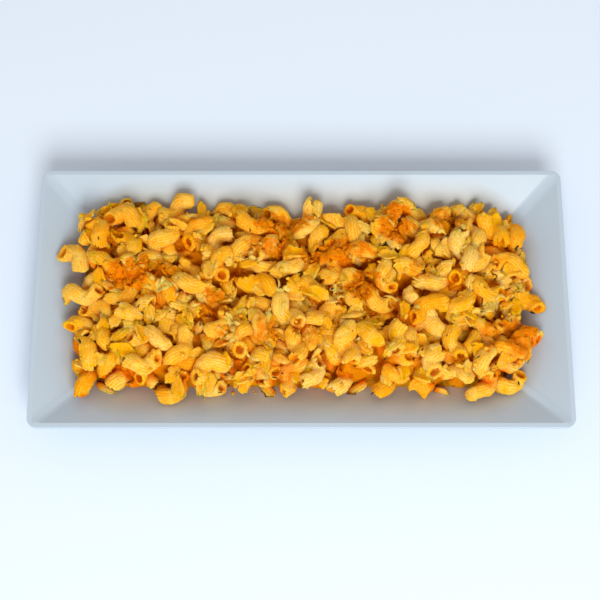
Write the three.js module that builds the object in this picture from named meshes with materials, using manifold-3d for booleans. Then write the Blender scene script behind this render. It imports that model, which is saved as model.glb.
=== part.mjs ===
// Macaroni cheese in its serving dish: a long white porcelain dish with sloping walls,
// and one heap of corkscrew macaroni that fills it and rises a little above the rim.
// Units are millimetres, +Z is up, +X runs along the dish, and the origin is the middle
// of the dish's foot, on the table.

import * as THREE from "three";
import { mergeVertices } from "three/addons/utils/BufferGeometryUtils.js";
import Module from "manifold-3d";

const wasm = await Module();
wasm.setup();

// Driving sizes of the dish
const DISH_LENGTH = 305;
const DISH_WIDTH = 155;
const DISH_HEIGHT = 25;
const RIM_CORNER = 4.5;
const LIP_WIDTH = 2.5;
const WALL_RUN = 35.5;
const FLOOR_TOP = 6;
const FLOOR_CORNER = 3;
const WALL_DEPTH = 4.8;
const FOOT_WIDTH = 4;
const FOOT_RECESS = 1.5;
const FOOT_IN = 2;
const FOOT_SLOPE = 1;
const FLARE_OUT = 1.5;
const FLARE_UP = 0.9;
const FLARE_CORNER = 5;
const RIM_ROUND = 0.9;
const LIP_FALL = 1;
const LIP_CORNER = 3.2;
const WALL_CORNER = 2.6;
const CORNER_STEPS = 6;

// Driving sizes of one corkscrew: a ridged tube wound round a slim helix
const TUBE_RADIUS = 4.1;
const BORE_RADIUS = 2.2;
const BORE_DEPTH = 2.6;
const COIL_RADIUS = [1.7, 2.8];
const COIL_PITCH = 17;
const NOODLE_TURNS = [0.8, 1.4];

// Driving sizes of the heap
const HEAP_SEED = 20;
const NOODLE_COUNT = 275;
const OUTLINE_ON_WALL = 0.62;
const OUTLINE_INSET = 10;
const BED_TOP = 10;
const HEAP_RISE = 15;
const HEAP_RUN = 36;
const HEAP_LUMP = 1.6;
const LUMP_LENGTH = 13;
const LUMP_WIDTH = 9;
const LUMP_SHIFT = 1;
const GAP = 0.3;

// How a falling corkscrew settles
const BALLS = 7;
const BALL_INSET = 0.07;
const SOFTNESS = 0.8;
const TRIES = 200;
const LYING_TILT = 0.45;
const STANDING_TILT = [0.7, 1.25];
const STANDING_EVERY = 8;
const STANDING_RESTS = 3;
const OVERHANG = 3;
const OUTSIDE_COST = 9;

// Facets of the solids
const TUBE_SIDES = 5;
const SECTION_RADIUS = 4.4;
const TUBE_STEPS_PER_TURN = 4.4;
const CORE_COLUMNS = 28;
const CORE_RINGS = 5;
const SHOWING_BALLS = 7;
const OPEN_END_REACH = 4;
const OPEN_END_RISE = 0.25;
const CORE_INSET = 6;
const CORE_EDGE = 1;
const CORE_SIDE = 5;
const CORE_BELOW_NOODLES = 0.6;
const CORE_SMOOTHING = 6;
const CORE_SINK = 1;
const FILL_TOP = 75;
const OUTLINE_HALVINGS = 20;
const SLIVER_HEIGHT = 0.002;

const floorHalf = {
  x: DISH_LENGTH / 2 - LIP_WIDTH - WALL_RUN,
  y: DISH_WIDTH / 2 - LIP_WIDTH - WALL_RUN,
};
const wallSlope = (DISH_HEIGHT - FLOOR_TOP) / WALL_RUN;
const wallStretch = Math.hypot(1, wallSlope);
const outlineReach = OUTLINE_INSET + OUTLINE_ON_WALL * WALL_RUN;
const edgeHeight = FLOOR_TOP + OUTLINE_ON_WALL * WALL_RUN * wallSlope;

// Surfaces that the heap lies on

/** Height of the dish's inner surface at a point. */
function dishSurface(x, y) {
  const beyond = Math.max(Math.abs(x) - floorHalf.x, Math.abs(y) - floorHalf.y, 0);
  return FLOOR_TOP + beyond * wallSlope;
}

/** Height of the middle of a tube that just clears the dish. */
function tubeOnDish(x, y) {
  return dishSurface(x, y) + (TUBE_RADIUS + GAP) * wallStretch;
}

/** Distance inwards from the heap's outline, a rounded rectangle. */
function insideOutline(x, y) {
  const dx = Math.abs(x) - (floorHalf.x - OUTLINE_INSET);
  const dy = Math.abs(y) - (floorHalf.y - OUTLINE_INSET);
  const distance = dx > 0 && dy > 0 ? Math.hypot(dx, dy) : Math.max(dx, dy);
  return outlineReach - distance;
}

/** How far a point is up the heap's side, from 0 at its outline to 1 on its top. */
function heapSide(x, y) {
  const share = Math.min(Math.max(insideOutline(x, y) / HEAP_RUN, 0), 1);
  return share * (2 - share);
}

/** Height that the heap's top is filled up to, with low mounds. */
function heapSurface(x, y) {
  const lump = HEAP_LUMP * Math.sin(x / LUMP_LENGTH + LUMP_SHIFT) * Math.cos(y / LUMP_WIDTH);
  return edgeHeight + (HEAP_RISE + lump) * heapSide(x, y);
}

// One corkscrew

/** Returns a function that draws the same numbers from 0 to 1 for the same seed. */
function seededRandom(seed) {
  let state = seed;
  return () => {
    state = (Math.imul(state, 1664525) + 1013904223) >>> 0;
    return state / 2 ** 32;
  };
}

/** A value part of the way through a range. */
function between([low, high], share) {
  return low + (high - low) * share;
}

/** The centre line of a corkscrew in its place in the heap. */
class NoodleCurve extends THREE.Curve {
  constructor(pose) {
    super();
    this.pose = pose;
  }

  getPoint(t, target = new THREE.Vector3()) {
    const { x, y, z, yaw, tilt, phase, turns, coil } = this.pose;
    const along = (t - 0.5) * turns * COIL_PITCH;
    const angle = phase + (t - 0.5) * turns * 2 * Math.PI;
    const side = coil * Math.cos(angle);
    const up = coil * Math.sin(angle);
    const level = along * Math.cos(tilt) - up * Math.sin(tilt);
    return target.set(
      x + level * Math.cos(yaw) - side * Math.sin(yaw),
      y + level * Math.sin(yaw) + side * Math.cos(yaw),
      z + along * Math.sin(tilt) + up * Math.cos(tilt),
    );
  }
}

/** Points along a corkscrew's centre line, for finding where it rests. */
function ballsOf(pose) {
  const curve = new NoodleCurve(pose);
  const balls = [];
  for (let i = 0; i < BALLS; i += 1) {
    const t = BALL_INSET + ((1 - 2 * BALL_INSET) * i) / (BALLS - 1);
    balls.push(curve.getPoint(t));
  }
  return balls;
}

// The heap, built up one falling corkscrew at a time

class Heap {
  constructor() {
    this.noodles = [];
    this.cells = new Map();
    this.cellSize = 2 * TUBE_RADIUS;
  }

  /** Every settled ball whose cell lies within one cell of a point. */
  *near(x, y) {
    const column = Math.floor(x / this.cellSize);
    const row = Math.floor(y / this.cellSize);
    for (let i = column - 1; i <= column + 1; i += 1) {
      for (let j = row - 1; j <= row + 1; j += 1) {
        yield* this.cells.get(`${i},${j}`) ?? [];
      }
    }
  }

  /** Height of the heap's top at a point, without one of its corkscrews. */
  top(x, y, without = null) {
    let height = Math.max(dishSurface(x, y), BED_TOP);
    for (const ball of this.near(x, y)) {
      const left = TUBE_RADIUS ** 2 - (ball.x - x) ** 2 - (ball.y - y) ** 2;
      if (left > 0 && ball.noodle !== without) height = Math.max(height, ball.z + Math.sqrt(left));
    }
    return height;
  }

  /** Lowest height at which a ball's centre rests at a point. */
  rest(x, y) {
    let height = Math.max(tubeOnDish(x, y), BED_TOP + TUBE_RADIUS);
    const reach = 2 * (TUBE_RADIUS - SOFTNESS);
    for (const ball of this.near(x, y)) {
      const left = reach ** 2 - (ball.x - x) ** 2 - (ball.y - y) ** 2;
      if (left > 0) height = Math.max(height, ball.z + Math.sqrt(left));
    }
    return height;
  }

  /** A random way for a corkscrew to lie in the heap, let down until it touches. */
  settled(noodle, tilt, rests, random) {
    const pose = {
      ...noodle,
      x: between([-1, 1], random()) * (floorHalf.x + outlineReach - OUTLINE_INSET),
      y: between([-1, 1], random()) * (floorHalf.y + outlineReach - OUTLINE_INSET),
      z: 0,
      yaw: random() * 2 * Math.PI,
      tilt: between(tilt, random()),
      phase: random() * 2 * Math.PI,
    };
    const balls = ballsOf(pose);
    const resting = balls.sort((a, b) => b.z - a.z).slice(0, rests);
    const lift = Math.max(
      ...resting.map((ball) => this.rest(ball.x, ball.y) - ball.z),
      ...balls.map((ball) => tubeOnDish(ball.x, ball.y) - ball.z),
    );
    const outside = Math.max(...balls.map((ball) => -insideOutline(ball.x, ball.y))) - OVERHANG;
    pose.z = lift;
    const above = lift + resting[0].z - heapSurface(pose.x, pose.y);
    return { pose, cost: above + OUTSIDE_COST * Math.max(outside, 0) };
  }

  /** Lets one corkscrew fall and keeps the lowest of several ways to lie. */
  drop(number, random) {
    const noodle = { turns: between(NOODLE_TURNS, random()), coil: between(COIL_RADIUS, random()) };
    const standing = number % STANDING_EVERY === 0;
    const tilt = standing ? STANDING_TILT : [-LYING_TILT, LYING_TILT];
    const rests = standing ? STANDING_RESTS : BALLS;
    let best = null;
    for (let i = 0; i < TRIES; i += 1) {
      const tried = this.settled(noodle, tilt, rests, random);
      if (best === null || tried.cost < best.cost) best = tried;
    }
    const settled = { pose: best.pose, balls: ballsOf(best.pose) };
    this.noodles.push(settled);
    for (const ball of settled.balls) {
      const key = `${Math.floor(ball.x / this.cellSize)},${Math.floor(ball.y / this.cellSize)}`;
      if (!this.cells.has(key)) this.cells.set(key, []);
      this.cells.get(key).push({ x: ball.x, y: ball.y, z: ball.z, noodle: settled });
    }
  }

  /** The number of a corkscrew's balls that have nothing above them. */
  showing(noodle) {
    return noodle.balls.filter((ball) => {
      return this.top(ball.x, ball.y, noodle) < ball.z + TUBE_RADIUS / 2;
    }).length;
  }

  /** Whether the bore at one end of a corkscrew is open to view. */
  endShows(noodle, end) {
    const curve = new NoodleCurve(noodle.pose);
    const outward = curve.getTangentAt(end).multiplyScalar(end === 0 ? -1 : 1);
    const tip = curve.getPoint(end).addScaledVector(outward, OPEN_END_REACH);
    return outward.z > OPEN_END_RISE && this.top(tip.x, tip.y) < tip.z;
  }
}

/** The whole heap of corkscrews. */
function pileNoodles() {
  const random = seededRandom(HEAP_SEED);
  const heap = new Heap();
  for (let i = 0; i < NOODLE_COUNT; i += 1) heap.drop(i, random);
  return heap;
}

// Meshes

/** Points of a level rounded rectangle, anticlockwise from above. */
function roundedRing(halfX, halfY, corner, z) {
  const points = [];
  for (let quarter = 0; quarter < 4; quarter += 1) {
    const signX = quarter === 0 || quarter === 3 ? 1 : -1;
    const signY = quarter < 2 ? 1 : -1;
    for (let step = 0; step <= CORNER_STEPS; step += 1) {
      const angle = ((quarter + step / CORNER_STEPS) * Math.PI) / 2;
      points.push([
        signX * (halfX - corner) + corner * Math.cos(angle),
        signY * (halfY - corner) + corner * Math.sin(angle),
        z,
      ]);
    }
  }
  return points;
}

/** A closed skin over rings of equal length, from the middle below to the middle above. */
function skin(rings) {
  const count = rings[0].length;
  const middle = (ring) => [0, 0, ring[0][2]];
  const positions = [middle(rings[0]), ...rings.flat(), middle(rings[rings.length - 1])];
  const last = positions.length - 1;
  const index = [];
  for (let i = 0; i < count; i += 1) {
    const next = (i + 1) % count;
    index.push(0, 1 + next, 1 + i);
    for (let ring = 1; ring < rings.length; ring += 1) {
      const below = 1 + (ring - 1) * count;
      const above = below + count;
      index.push(below + i, below + next, above + next);
      index.push(below + i, above + next, above + i);
    }
    index.push(last - count + i, last - count + next, last);
  }
  const geometry = new THREE.BufferGeometry();
  geometry.setAttribute("position", new THREE.Float32BufferAttribute(positions.flat(), 3));
  geometry.setIndex(index);
  geometry.computeVertexNormals();
  return geometry;
}

/** A three.js geometry as a solid that can be joined and cut. */
function solidOf(geometry) {
  const bare = geometry.clone();
  bare.deleteAttribute("normal");
  bare.deleteAttribute("uv");
  const merged = mergeVertices(bare);
  return new wasm.Manifold(
    new wasm.Mesh({
      numProp: 3,
      vertProperties: merged.attributes.position.array,
      triVerts: new Uint32Array(merged.index.array),
    }),
  );
}

/** A solid as a three.js geometry, without slivers. */
function geometryOf(solid) {
  const mesh = solid.getMesh();
  const points = [];
  for (let i = 0; i < mesh.vertProperties.length; i += 3) {
    points.push(new THREE.Vector3().fromArray(mesh.vertProperties, i));
  }
  const triangles = [];
  for (let i = 0; i < mesh.triVerts.length; i += 3) {
    triangles.push([...mesh.triVerts.slice(i, i + 3)]);
  }
  const geometry = new THREE.BufferGeometry();
  geometry.setAttribute("position", new THREE.BufferAttribute(mesh.vertProperties, 3));
  geometry.setIndex(withoutSlivers(points, triangles).flat());
  geometry.computeVertexNormals();
  return geometry;
}

/** The height of a triangle over its longest edge, and the corner opposite that edge. */
function thinness(points, triangle) {
  const [a, b, c] = triangle.map((corner) => points[corner]);
  const lengths = [b.distanceTo(c), c.distanceTo(a), a.distanceTo(b)];
  const longest = Math.max(...lengths);
  const area = new THREE.Triangle(a, b, c).getArea();
  return { height: (2 * area) / longest, corner: lengths.indexOf(longest) };
}

/** Triangles without slivers: the long edge of each one is turned into its neighbour. */
function withoutSlivers(points, triangles) {
  const owner = new Map();
  const claim = (number) => {
    triangles[number].forEach((from, i, corners) => {
      owner.set(`${from},${corners[(i + 1) % 3]}`, number);
    });
  };
  triangles.forEach((_, number) => claim(number));
  triangles.forEach((triangle, number) => {
    const { height, corner } = thinness(points, triangle);
    const [tip, from, to] = [0, 1, 2].map((i) => triangle[(corner + i) % 3]);
    const other = owner.get(`${to},${from}`);
    const far = triangles[other].find((vertex) => vertex !== from && vertex !== to);
    const joined = owner.has(`${tip},${far}`) || owner.has(`${far},${tip}`);
    if (height > SLIVER_HEIGHT || joined) return;
    triangles[number] = [tip, from, far];
    triangles[other] = [tip, far, to];
    owner.delete(`${from},${to}`);
    owner.delete(`${to},${from}`);
    claim(number);
    claim(other);
  });
  return triangles;
}

/** The largest separate body of a solid, which drops loose scraps and fills sealed hollows. */
function largestBody(solid) {
  return solid.decompose().reduce((a, b) => (b.volume() > a.volume() ? b : a));
}

// The dish

/** The dish: foot ring, sloping walls and a flat lip, as one shell. */
function dishGeometry() {
  const outer = { x: DISH_LENGTH / 2, y: DISH_WIDTH / 2 };
  const foot = { x: floorHalf.x - FOOT_IN, y: floorHalf.y - FOOT_IN };
  const rimLow = FLOOR_TOP + (LIP_WIDTH + WALL_RUN) * wallSlope - WALL_DEPTH;
  const ring = (from, inset, corner, z) => roundedRing(from.x - inset, from.y - inset, corner, z);
  return skin([
    ring(foot, FOOT_WIDTH + FOOT_SLOPE, FLOOR_CORNER, FOOT_RECESS),
    ring(foot, FOOT_WIDTH, FLOOR_CORNER, 0),
    ring(foot, 0, FLOOR_CORNER + FOOT_SLOPE, 0),
    ring(foot, -FLARE_OUT, FLARE_CORNER, FLARE_UP),
    ring(outer, RIM_ROUND, RIM_CORNER - RIM_ROUND, rimLow),
    ring(outer, 0, RIM_CORNER, rimLow + RIM_ROUND),
    ring(outer, 0, RIM_CORNER, DISH_HEIGHT - RIM_ROUND),
    ring(outer, RIM_ROUND, RIM_CORNER - RIM_ROUND, DISH_HEIGHT),
    ring(outer, LIP_WIDTH - RIM_ROUND, LIP_CORNER, DISH_HEIGHT),
    ring(outer, LIP_WIDTH + LIP_FALL, WALL_CORNER, DISH_HEIGHT - LIP_FALL * wallSlope),
    ring(floorHalf, 0, FLOOR_CORNER, FLOOR_TOP),
  ]);
}

// The heap

/** The space that food can fill: above the dish's inner surface, clear of it by the gap. */
function fillableSpace() {
  const ring = (beyond, corner, z) => roundedRing(floorHalf.x + beyond, floorHalf.y + beyond, corner, z);
  const reach = WALL_RUN - LIP_FALL;
  return solidOf(
    skin([
      ring(0, FLOOR_CORNER, FLOOR_TOP + GAP),
      ring(reach, WALL_CORNER, FLOOR_TOP + GAP + reach * wallSlope),
      ring(reach, WALL_CORNER, FILL_TOP),
    ]),
  );
}

/** Height of the core's top: just under the mean height of the corkscrews around a point. */
function coreUnderNoodles(x, y, balls) {
  let sum = 0;
  let weights = 0;
  for (const ball of balls) {
    const distance = Math.hypot(ball.x - x, ball.y - y) / CORE_SMOOTHING;
    const weight = Math.exp(-distance * distance);
    sum += weight * (ball.z - CORE_BELOW_NOODLES);
    weights += weight;
  }
  return sum / weights;
}

/** The point of the heap's outline, drawn in by an inset, in one direction from the middle. */
function outlinePoint(column, inset) {
  const turn = (column / CORE_COLUMNS) * 2 * Math.PI;
  const [dx, dy] = [Math.cos(turn) * DISH_LENGTH, Math.sin(turn) * DISH_WIDTH];
  let low = 0;
  let high = 1;
  for (let i = 0; i < OUTLINE_HALVINGS; i += 1) {
    const half = (low + high) / 2;
    if (insideOutline(dx * half, dy * half) > inset) low = half;
    else high = half;
  }
  return [dx * low, dy * low];
}

/** The core: the sauced mass that carries the corkscrews that show. */
function coreSolid(noodles) {
  const balls = noodles.flatMap((noodle) => noodle.balls);
  const columns = [...Array(CORE_COLUMNS).keys()];
  const ring = (inset, share, height) =>
    columns.map((column) => {
      const [x, y] = outlinePoint(column, inset).map((value) => value * share);
      return [x, y, height(x, y)];
    });
  const rings = [
    ring(outlineReach - OUTLINE_INSET, 1, () => FLOOR_TOP - CORE_SINK),
    ring(CORE_INSET, 1, (x, y) => dishSurface(x, y) - CORE_SINK),
    ring(CORE_INSET, 1, (x, y) => dishSurface(x, y) + CORE_EDGE),
  ];
  for (let step = CORE_RINGS; step > 0; step -= 1) {
    rings.push(ring(CORE_INSET + CORE_SIDE, step / CORE_RINGS, (x, y) => coreUnderNoodles(x, y, balls)));
  }
  return solidOf(skin(rings));
}

/** One corkscrew as a solid tube. */
function noodleSolid(curve) {
  const section = new THREE.Shape();
  for (let side = 0; side < TUBE_SIDES; side += 1) {
    const angle = (side / TUBE_SIDES) * 2 * Math.PI;
    const [x, y] = [SECTION_RADIUS * Math.cos(angle), SECTION_RADIUS * Math.sin(angle)];
    if (side === 0) section.moveTo(x, y);
    else section.lineTo(x, y);
  }
  const steps = Math.round(TUBE_STEPS_PER_TURN * curve.pose.turns);
  return solidOf(
    new THREE.ExtrudeGeometry(section, { steps, extrudePath: curve, bevelEnabled: false }),
  );
}

/** The space of a short bore in one end of a corkscrew. */
function boreSolid(curve, end) {
  const bore = new THREE.CylinderGeometry(BORE_RADIUS, BORE_RADIUS, 2 * BORE_DEPTH, TUBE_SIDES);
  const upright = new THREE.Vector3(0, 1, 0);
  bore.applyQuaternion(new THREE.Quaternion().setFromUnitVectors(upright, curve.getTangentAt(end)));
  bore.translate(...curve.getPoint(end).toArray());
  return solidOf(bore);
}

/** The heap as one solid: the core with the corkscrews that show fused on. */
function heapGeometry() {
  const heap = pileNoodles();
  const noodles = heap.noodles.filter((noodle) => heap.showing(noodle) >= SHOWING_BALLS);
  const pieces = noodles.map((noodle) => {
    const curve = new NoodleCurve(noodle.pose);
    const bores = [0, 1].filter((end) => heap.endShows(noodle, end));
    return bores.reduce((solid, end) => solid.subtract(boreSolid(curve, end)), noodleSolid(curve));
  });
  const fused = wasm.Manifold.union([coreSolid(noodles), ...pieces]);
  return geometryOf(largestBody(fused.intersect(fillableSpace())));
}

/** A named mesh with its own material. */
function part(name, geometry, color, roughness) {
  const material = new THREE.MeshStandardMaterial({ color, roughness, metalness: 0 });
  const mesh = new THREE.Mesh(geometry, material);
  mesh.name = name;
  return mesh;
}

const macaroniCheese = new THREE.Group();
macaroniCheese.add(part("dish", dishGeometry(), 0xe9eef2, 0.2));
macaroniCheese.add(part("macaroni_heap", heapGeometry(), 0xf0ac2e, 0.5));

export default macaroniCheese;
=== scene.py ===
"""Macaroni cheese in its serving dish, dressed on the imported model.

A long white porcelain dish with sloping walls holds a heap of ridged corkscrew macaroni in cheddar
sauce. The heap was baked until the cheese on its top browned in patches, and it is flecked with herbs.
Lengths are in millimetres, as in the part's source, unless a note says that they are in metres.
Finished meshes are in metres.
"""

import logging
import math
from dataclasses import dataclass, field
from enum import Enum
from functools import cached_property

import bmesh
import bpy
import numpy as np
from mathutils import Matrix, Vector


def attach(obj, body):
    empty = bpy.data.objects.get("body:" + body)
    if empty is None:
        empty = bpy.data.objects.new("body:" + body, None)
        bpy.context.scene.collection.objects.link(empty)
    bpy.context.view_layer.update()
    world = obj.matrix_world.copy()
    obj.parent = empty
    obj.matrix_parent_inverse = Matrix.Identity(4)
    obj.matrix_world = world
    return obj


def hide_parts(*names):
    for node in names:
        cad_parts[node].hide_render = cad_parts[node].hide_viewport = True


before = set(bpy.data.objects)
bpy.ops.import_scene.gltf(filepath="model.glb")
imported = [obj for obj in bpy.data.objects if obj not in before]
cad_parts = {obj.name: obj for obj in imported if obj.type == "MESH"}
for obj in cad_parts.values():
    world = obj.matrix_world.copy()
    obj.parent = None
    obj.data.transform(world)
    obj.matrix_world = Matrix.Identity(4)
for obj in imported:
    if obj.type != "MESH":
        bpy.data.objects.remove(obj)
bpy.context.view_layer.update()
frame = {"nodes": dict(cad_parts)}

log = logging.getLogger("macaroni_cheese")

MM = 0.001
FULL_TURN = 2 * math.pi
WAVE_START = (0.0, 6.0)


# Sizes


@dataclass(frozen=True)
class DishSizes:
    """The porcelain dish's driving sizes."""

    length: float = 305
    width: float = 155
    height: float = 25
    lip: float = 2.5
    wall_run: float = 35.5
    floor_top: float = 6
    wall_depth: float = 4.8
    foot_width: float = 4
    foot_recess: float = 1.5
    foot_in: float = 2
    foot_slope: float = 1
    flare_out: float = 1.5
    flare_up: float = 0.9
    rim_corner: float = 4.5

    @cached_property
    def floor_half(self) -> tuple[float, float]:
        """Half the floor's length and width."""
        return (
            self.length / 2 - self.lip - self.wall_run,
            self.width / 2 - self.lip - self.wall_run,
        )

    @cached_property
    def wall_slope(self) -> float:
        """Rise of the inner wall for each millimetre outwards."""
        return (self.height - self.floor_top) / self.wall_run


@dataclass(frozen=True)
class HeapSizes:
    """The heap's driving sizes, the same as in the part's source."""

    tube_radius: float = 4.1
    coil_radius: tuple[float, float] = (1.7, 2.8)
    coil_pitch: float = 17
    turns: tuple[float, float] = (0.8, 1.4)
    seed: int = 20
    count: int = 275
    outline_on_wall: float = 0.62
    outline_inset: float = 10
    bed_top: float = 10
    rise: float = 15
    run: float = 36
    lump: float = 1.6
    lump_length: float = 13
    lump_width: float = 9
    lump_shift: float = 1
    gap: float = 0.3
    balls: int = 7
    ball_inset: float = 0.07
    softness: float = 0.8
    tries: int = 200
    lying_tilt: float = 0.45
    standing_tilt: tuple[float, float] = (0.7, 1.25)
    standing_every: int = 8
    standing_rests: int = 3
    overhang: float = 3
    outside_cost: float = 9


# The heap's surfaces and its corkscrews


def between(limits: tuple[float, float], share: float) -> float:
    """Returns the value part of the way through a range."""
    return limits[0] + (limits[1] - limits[0]) * share


class SeededDraws:
    """Draws the same numbers from 0 to 1 as the part's source does."""

    factor = 1664525
    shift = 1013904223
    span = 2**32

    def __init__(self, seed: int) -> None:
        """Starts the draws at a seed."""
        self.state = seed

    def __call__(self) -> float:
        """Returns the next number from 0 to 1."""
        self.state = (self.state * self.factor + self.shift) % self.span
        return self.state / self.span


@dataclass(frozen=True)
class Surfaces:
    """The dish's inner surface and the heap's outline and full height."""

    dish: DishSizes = DishSizes()
    heap: HeapSizes = HeapSizes()

    @cached_property
    def inner_half(self) -> tuple[float, float]:
        """Half the length and width of the rectangle that the outline lies round."""
        half_x, half_y = self.dish.floor_half
        return half_x - self.heap.outline_inset, half_y - self.heap.outline_inset

    @cached_property
    def outline_reach(self) -> float:
        """Distance from the outline's inner rectangle to the outline."""
        return self.heap.outline_inset + self.heap.outline_on_wall * self.dish.wall_run

    @cached_property
    def edge_height(self) -> float:
        """Height of the dish's wall at the heap's outline."""
        climb = self.heap.outline_on_wall * self.dish.wall_run * self.dish.wall_slope
        return self.dish.floor_top + climb

    @cached_property
    def tube_clearance(self) -> float:
        """How high over a sloping wall the middle of a tube that clears it lies."""
        return (self.heap.tube_radius + self.heap.gap) * math.hypot(1, self.dish.wall_slope)

    def on_dish(self, x: float, y: float) -> float:
        """Finds the height of the dish's inner surface.

        Args:
            x: A place along the dish.
            y: A place across the dish.

        Returns:
            The height there.
        """
        half_x, half_y = self.dish.floor_half
        beyond = max(abs(x) - half_x, abs(y) - half_y, 0)
        return self.dish.floor_top + beyond * self.dish.wall_slope

    def tube_on_dish(self, x: float, y: float) -> float:
        """Returns the height of the middle of a tube that just clears the dish."""
        return self.on_dish(x, y) + self.tube_clearance

    def inside(self, x: float, y: float) -> float:
        """Finds how far inwards from the heap's outline a place lies.

        Args:
            x: A place along the dish.
            y: A place across the dish.

        Returns:
            The distance, below 0 outside the outline.
        """
        dx = abs(x) - self.inner_half[0]
        dy = abs(y) - self.inner_half[1]
        distance = math.hypot(dx, dy) if dx > 0 and dy > 0 else max(dx, dy)
        return self.outline_reach - distance

    def full_height(self, x: float, y: float) -> float:
        """Finds the height that the heap is filled up to, with its low mounds.

        Args:
            x: A place along the dish.
            y: A place across the dish.

        Returns:
            The height there.
        """
        heap = self.heap
        share = min(max(self.inside(x, y) / heap.run, 0), 1)
        side = share * (2 - share)
        wave = math.sin(x / heap.lump_length + heap.lump_shift) * math.cos(y / heap.lump_width)
        return self.edge_height + (heap.rise + heap.lump * wave) * side


@dataclass(frozen=True)
class Corkscrew:
    """One corkscrew's place, turn and twist."""

    x: float
    y: float
    z: float
    yaw: float
    tilt: float
    phase: float
    turns: float
    coil: float
    pitch: float

    def points(self, shares: np.ndarray) -> np.ndarray:
        """Finds points on the tube's middle line.

        Args:
            shares: Places along the line, from 0 at one end to 1 at the other.

        Returns:
            An array of one x, y, z row for each share.
        """
        along = (shares - 0.5) * self.turns * self.pitch
        angle = self.phase + (shares - 0.5) * self.turns * FULL_TURN
        side = self.coil * np.cos(angle)
        up = self.coil * np.sin(angle)
        level = along * math.cos(self.tilt) - up * math.sin(self.tilt)
        return np.column_stack(
            (
                self.x + level * math.cos(self.yaw) - side * math.sin(self.yaw),
                self.y + level * math.sin(self.yaw) + side * math.cos(self.yaw),
                self.z + along * math.sin(self.tilt) + up * math.cos(self.tilt),
            )
        )


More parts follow.
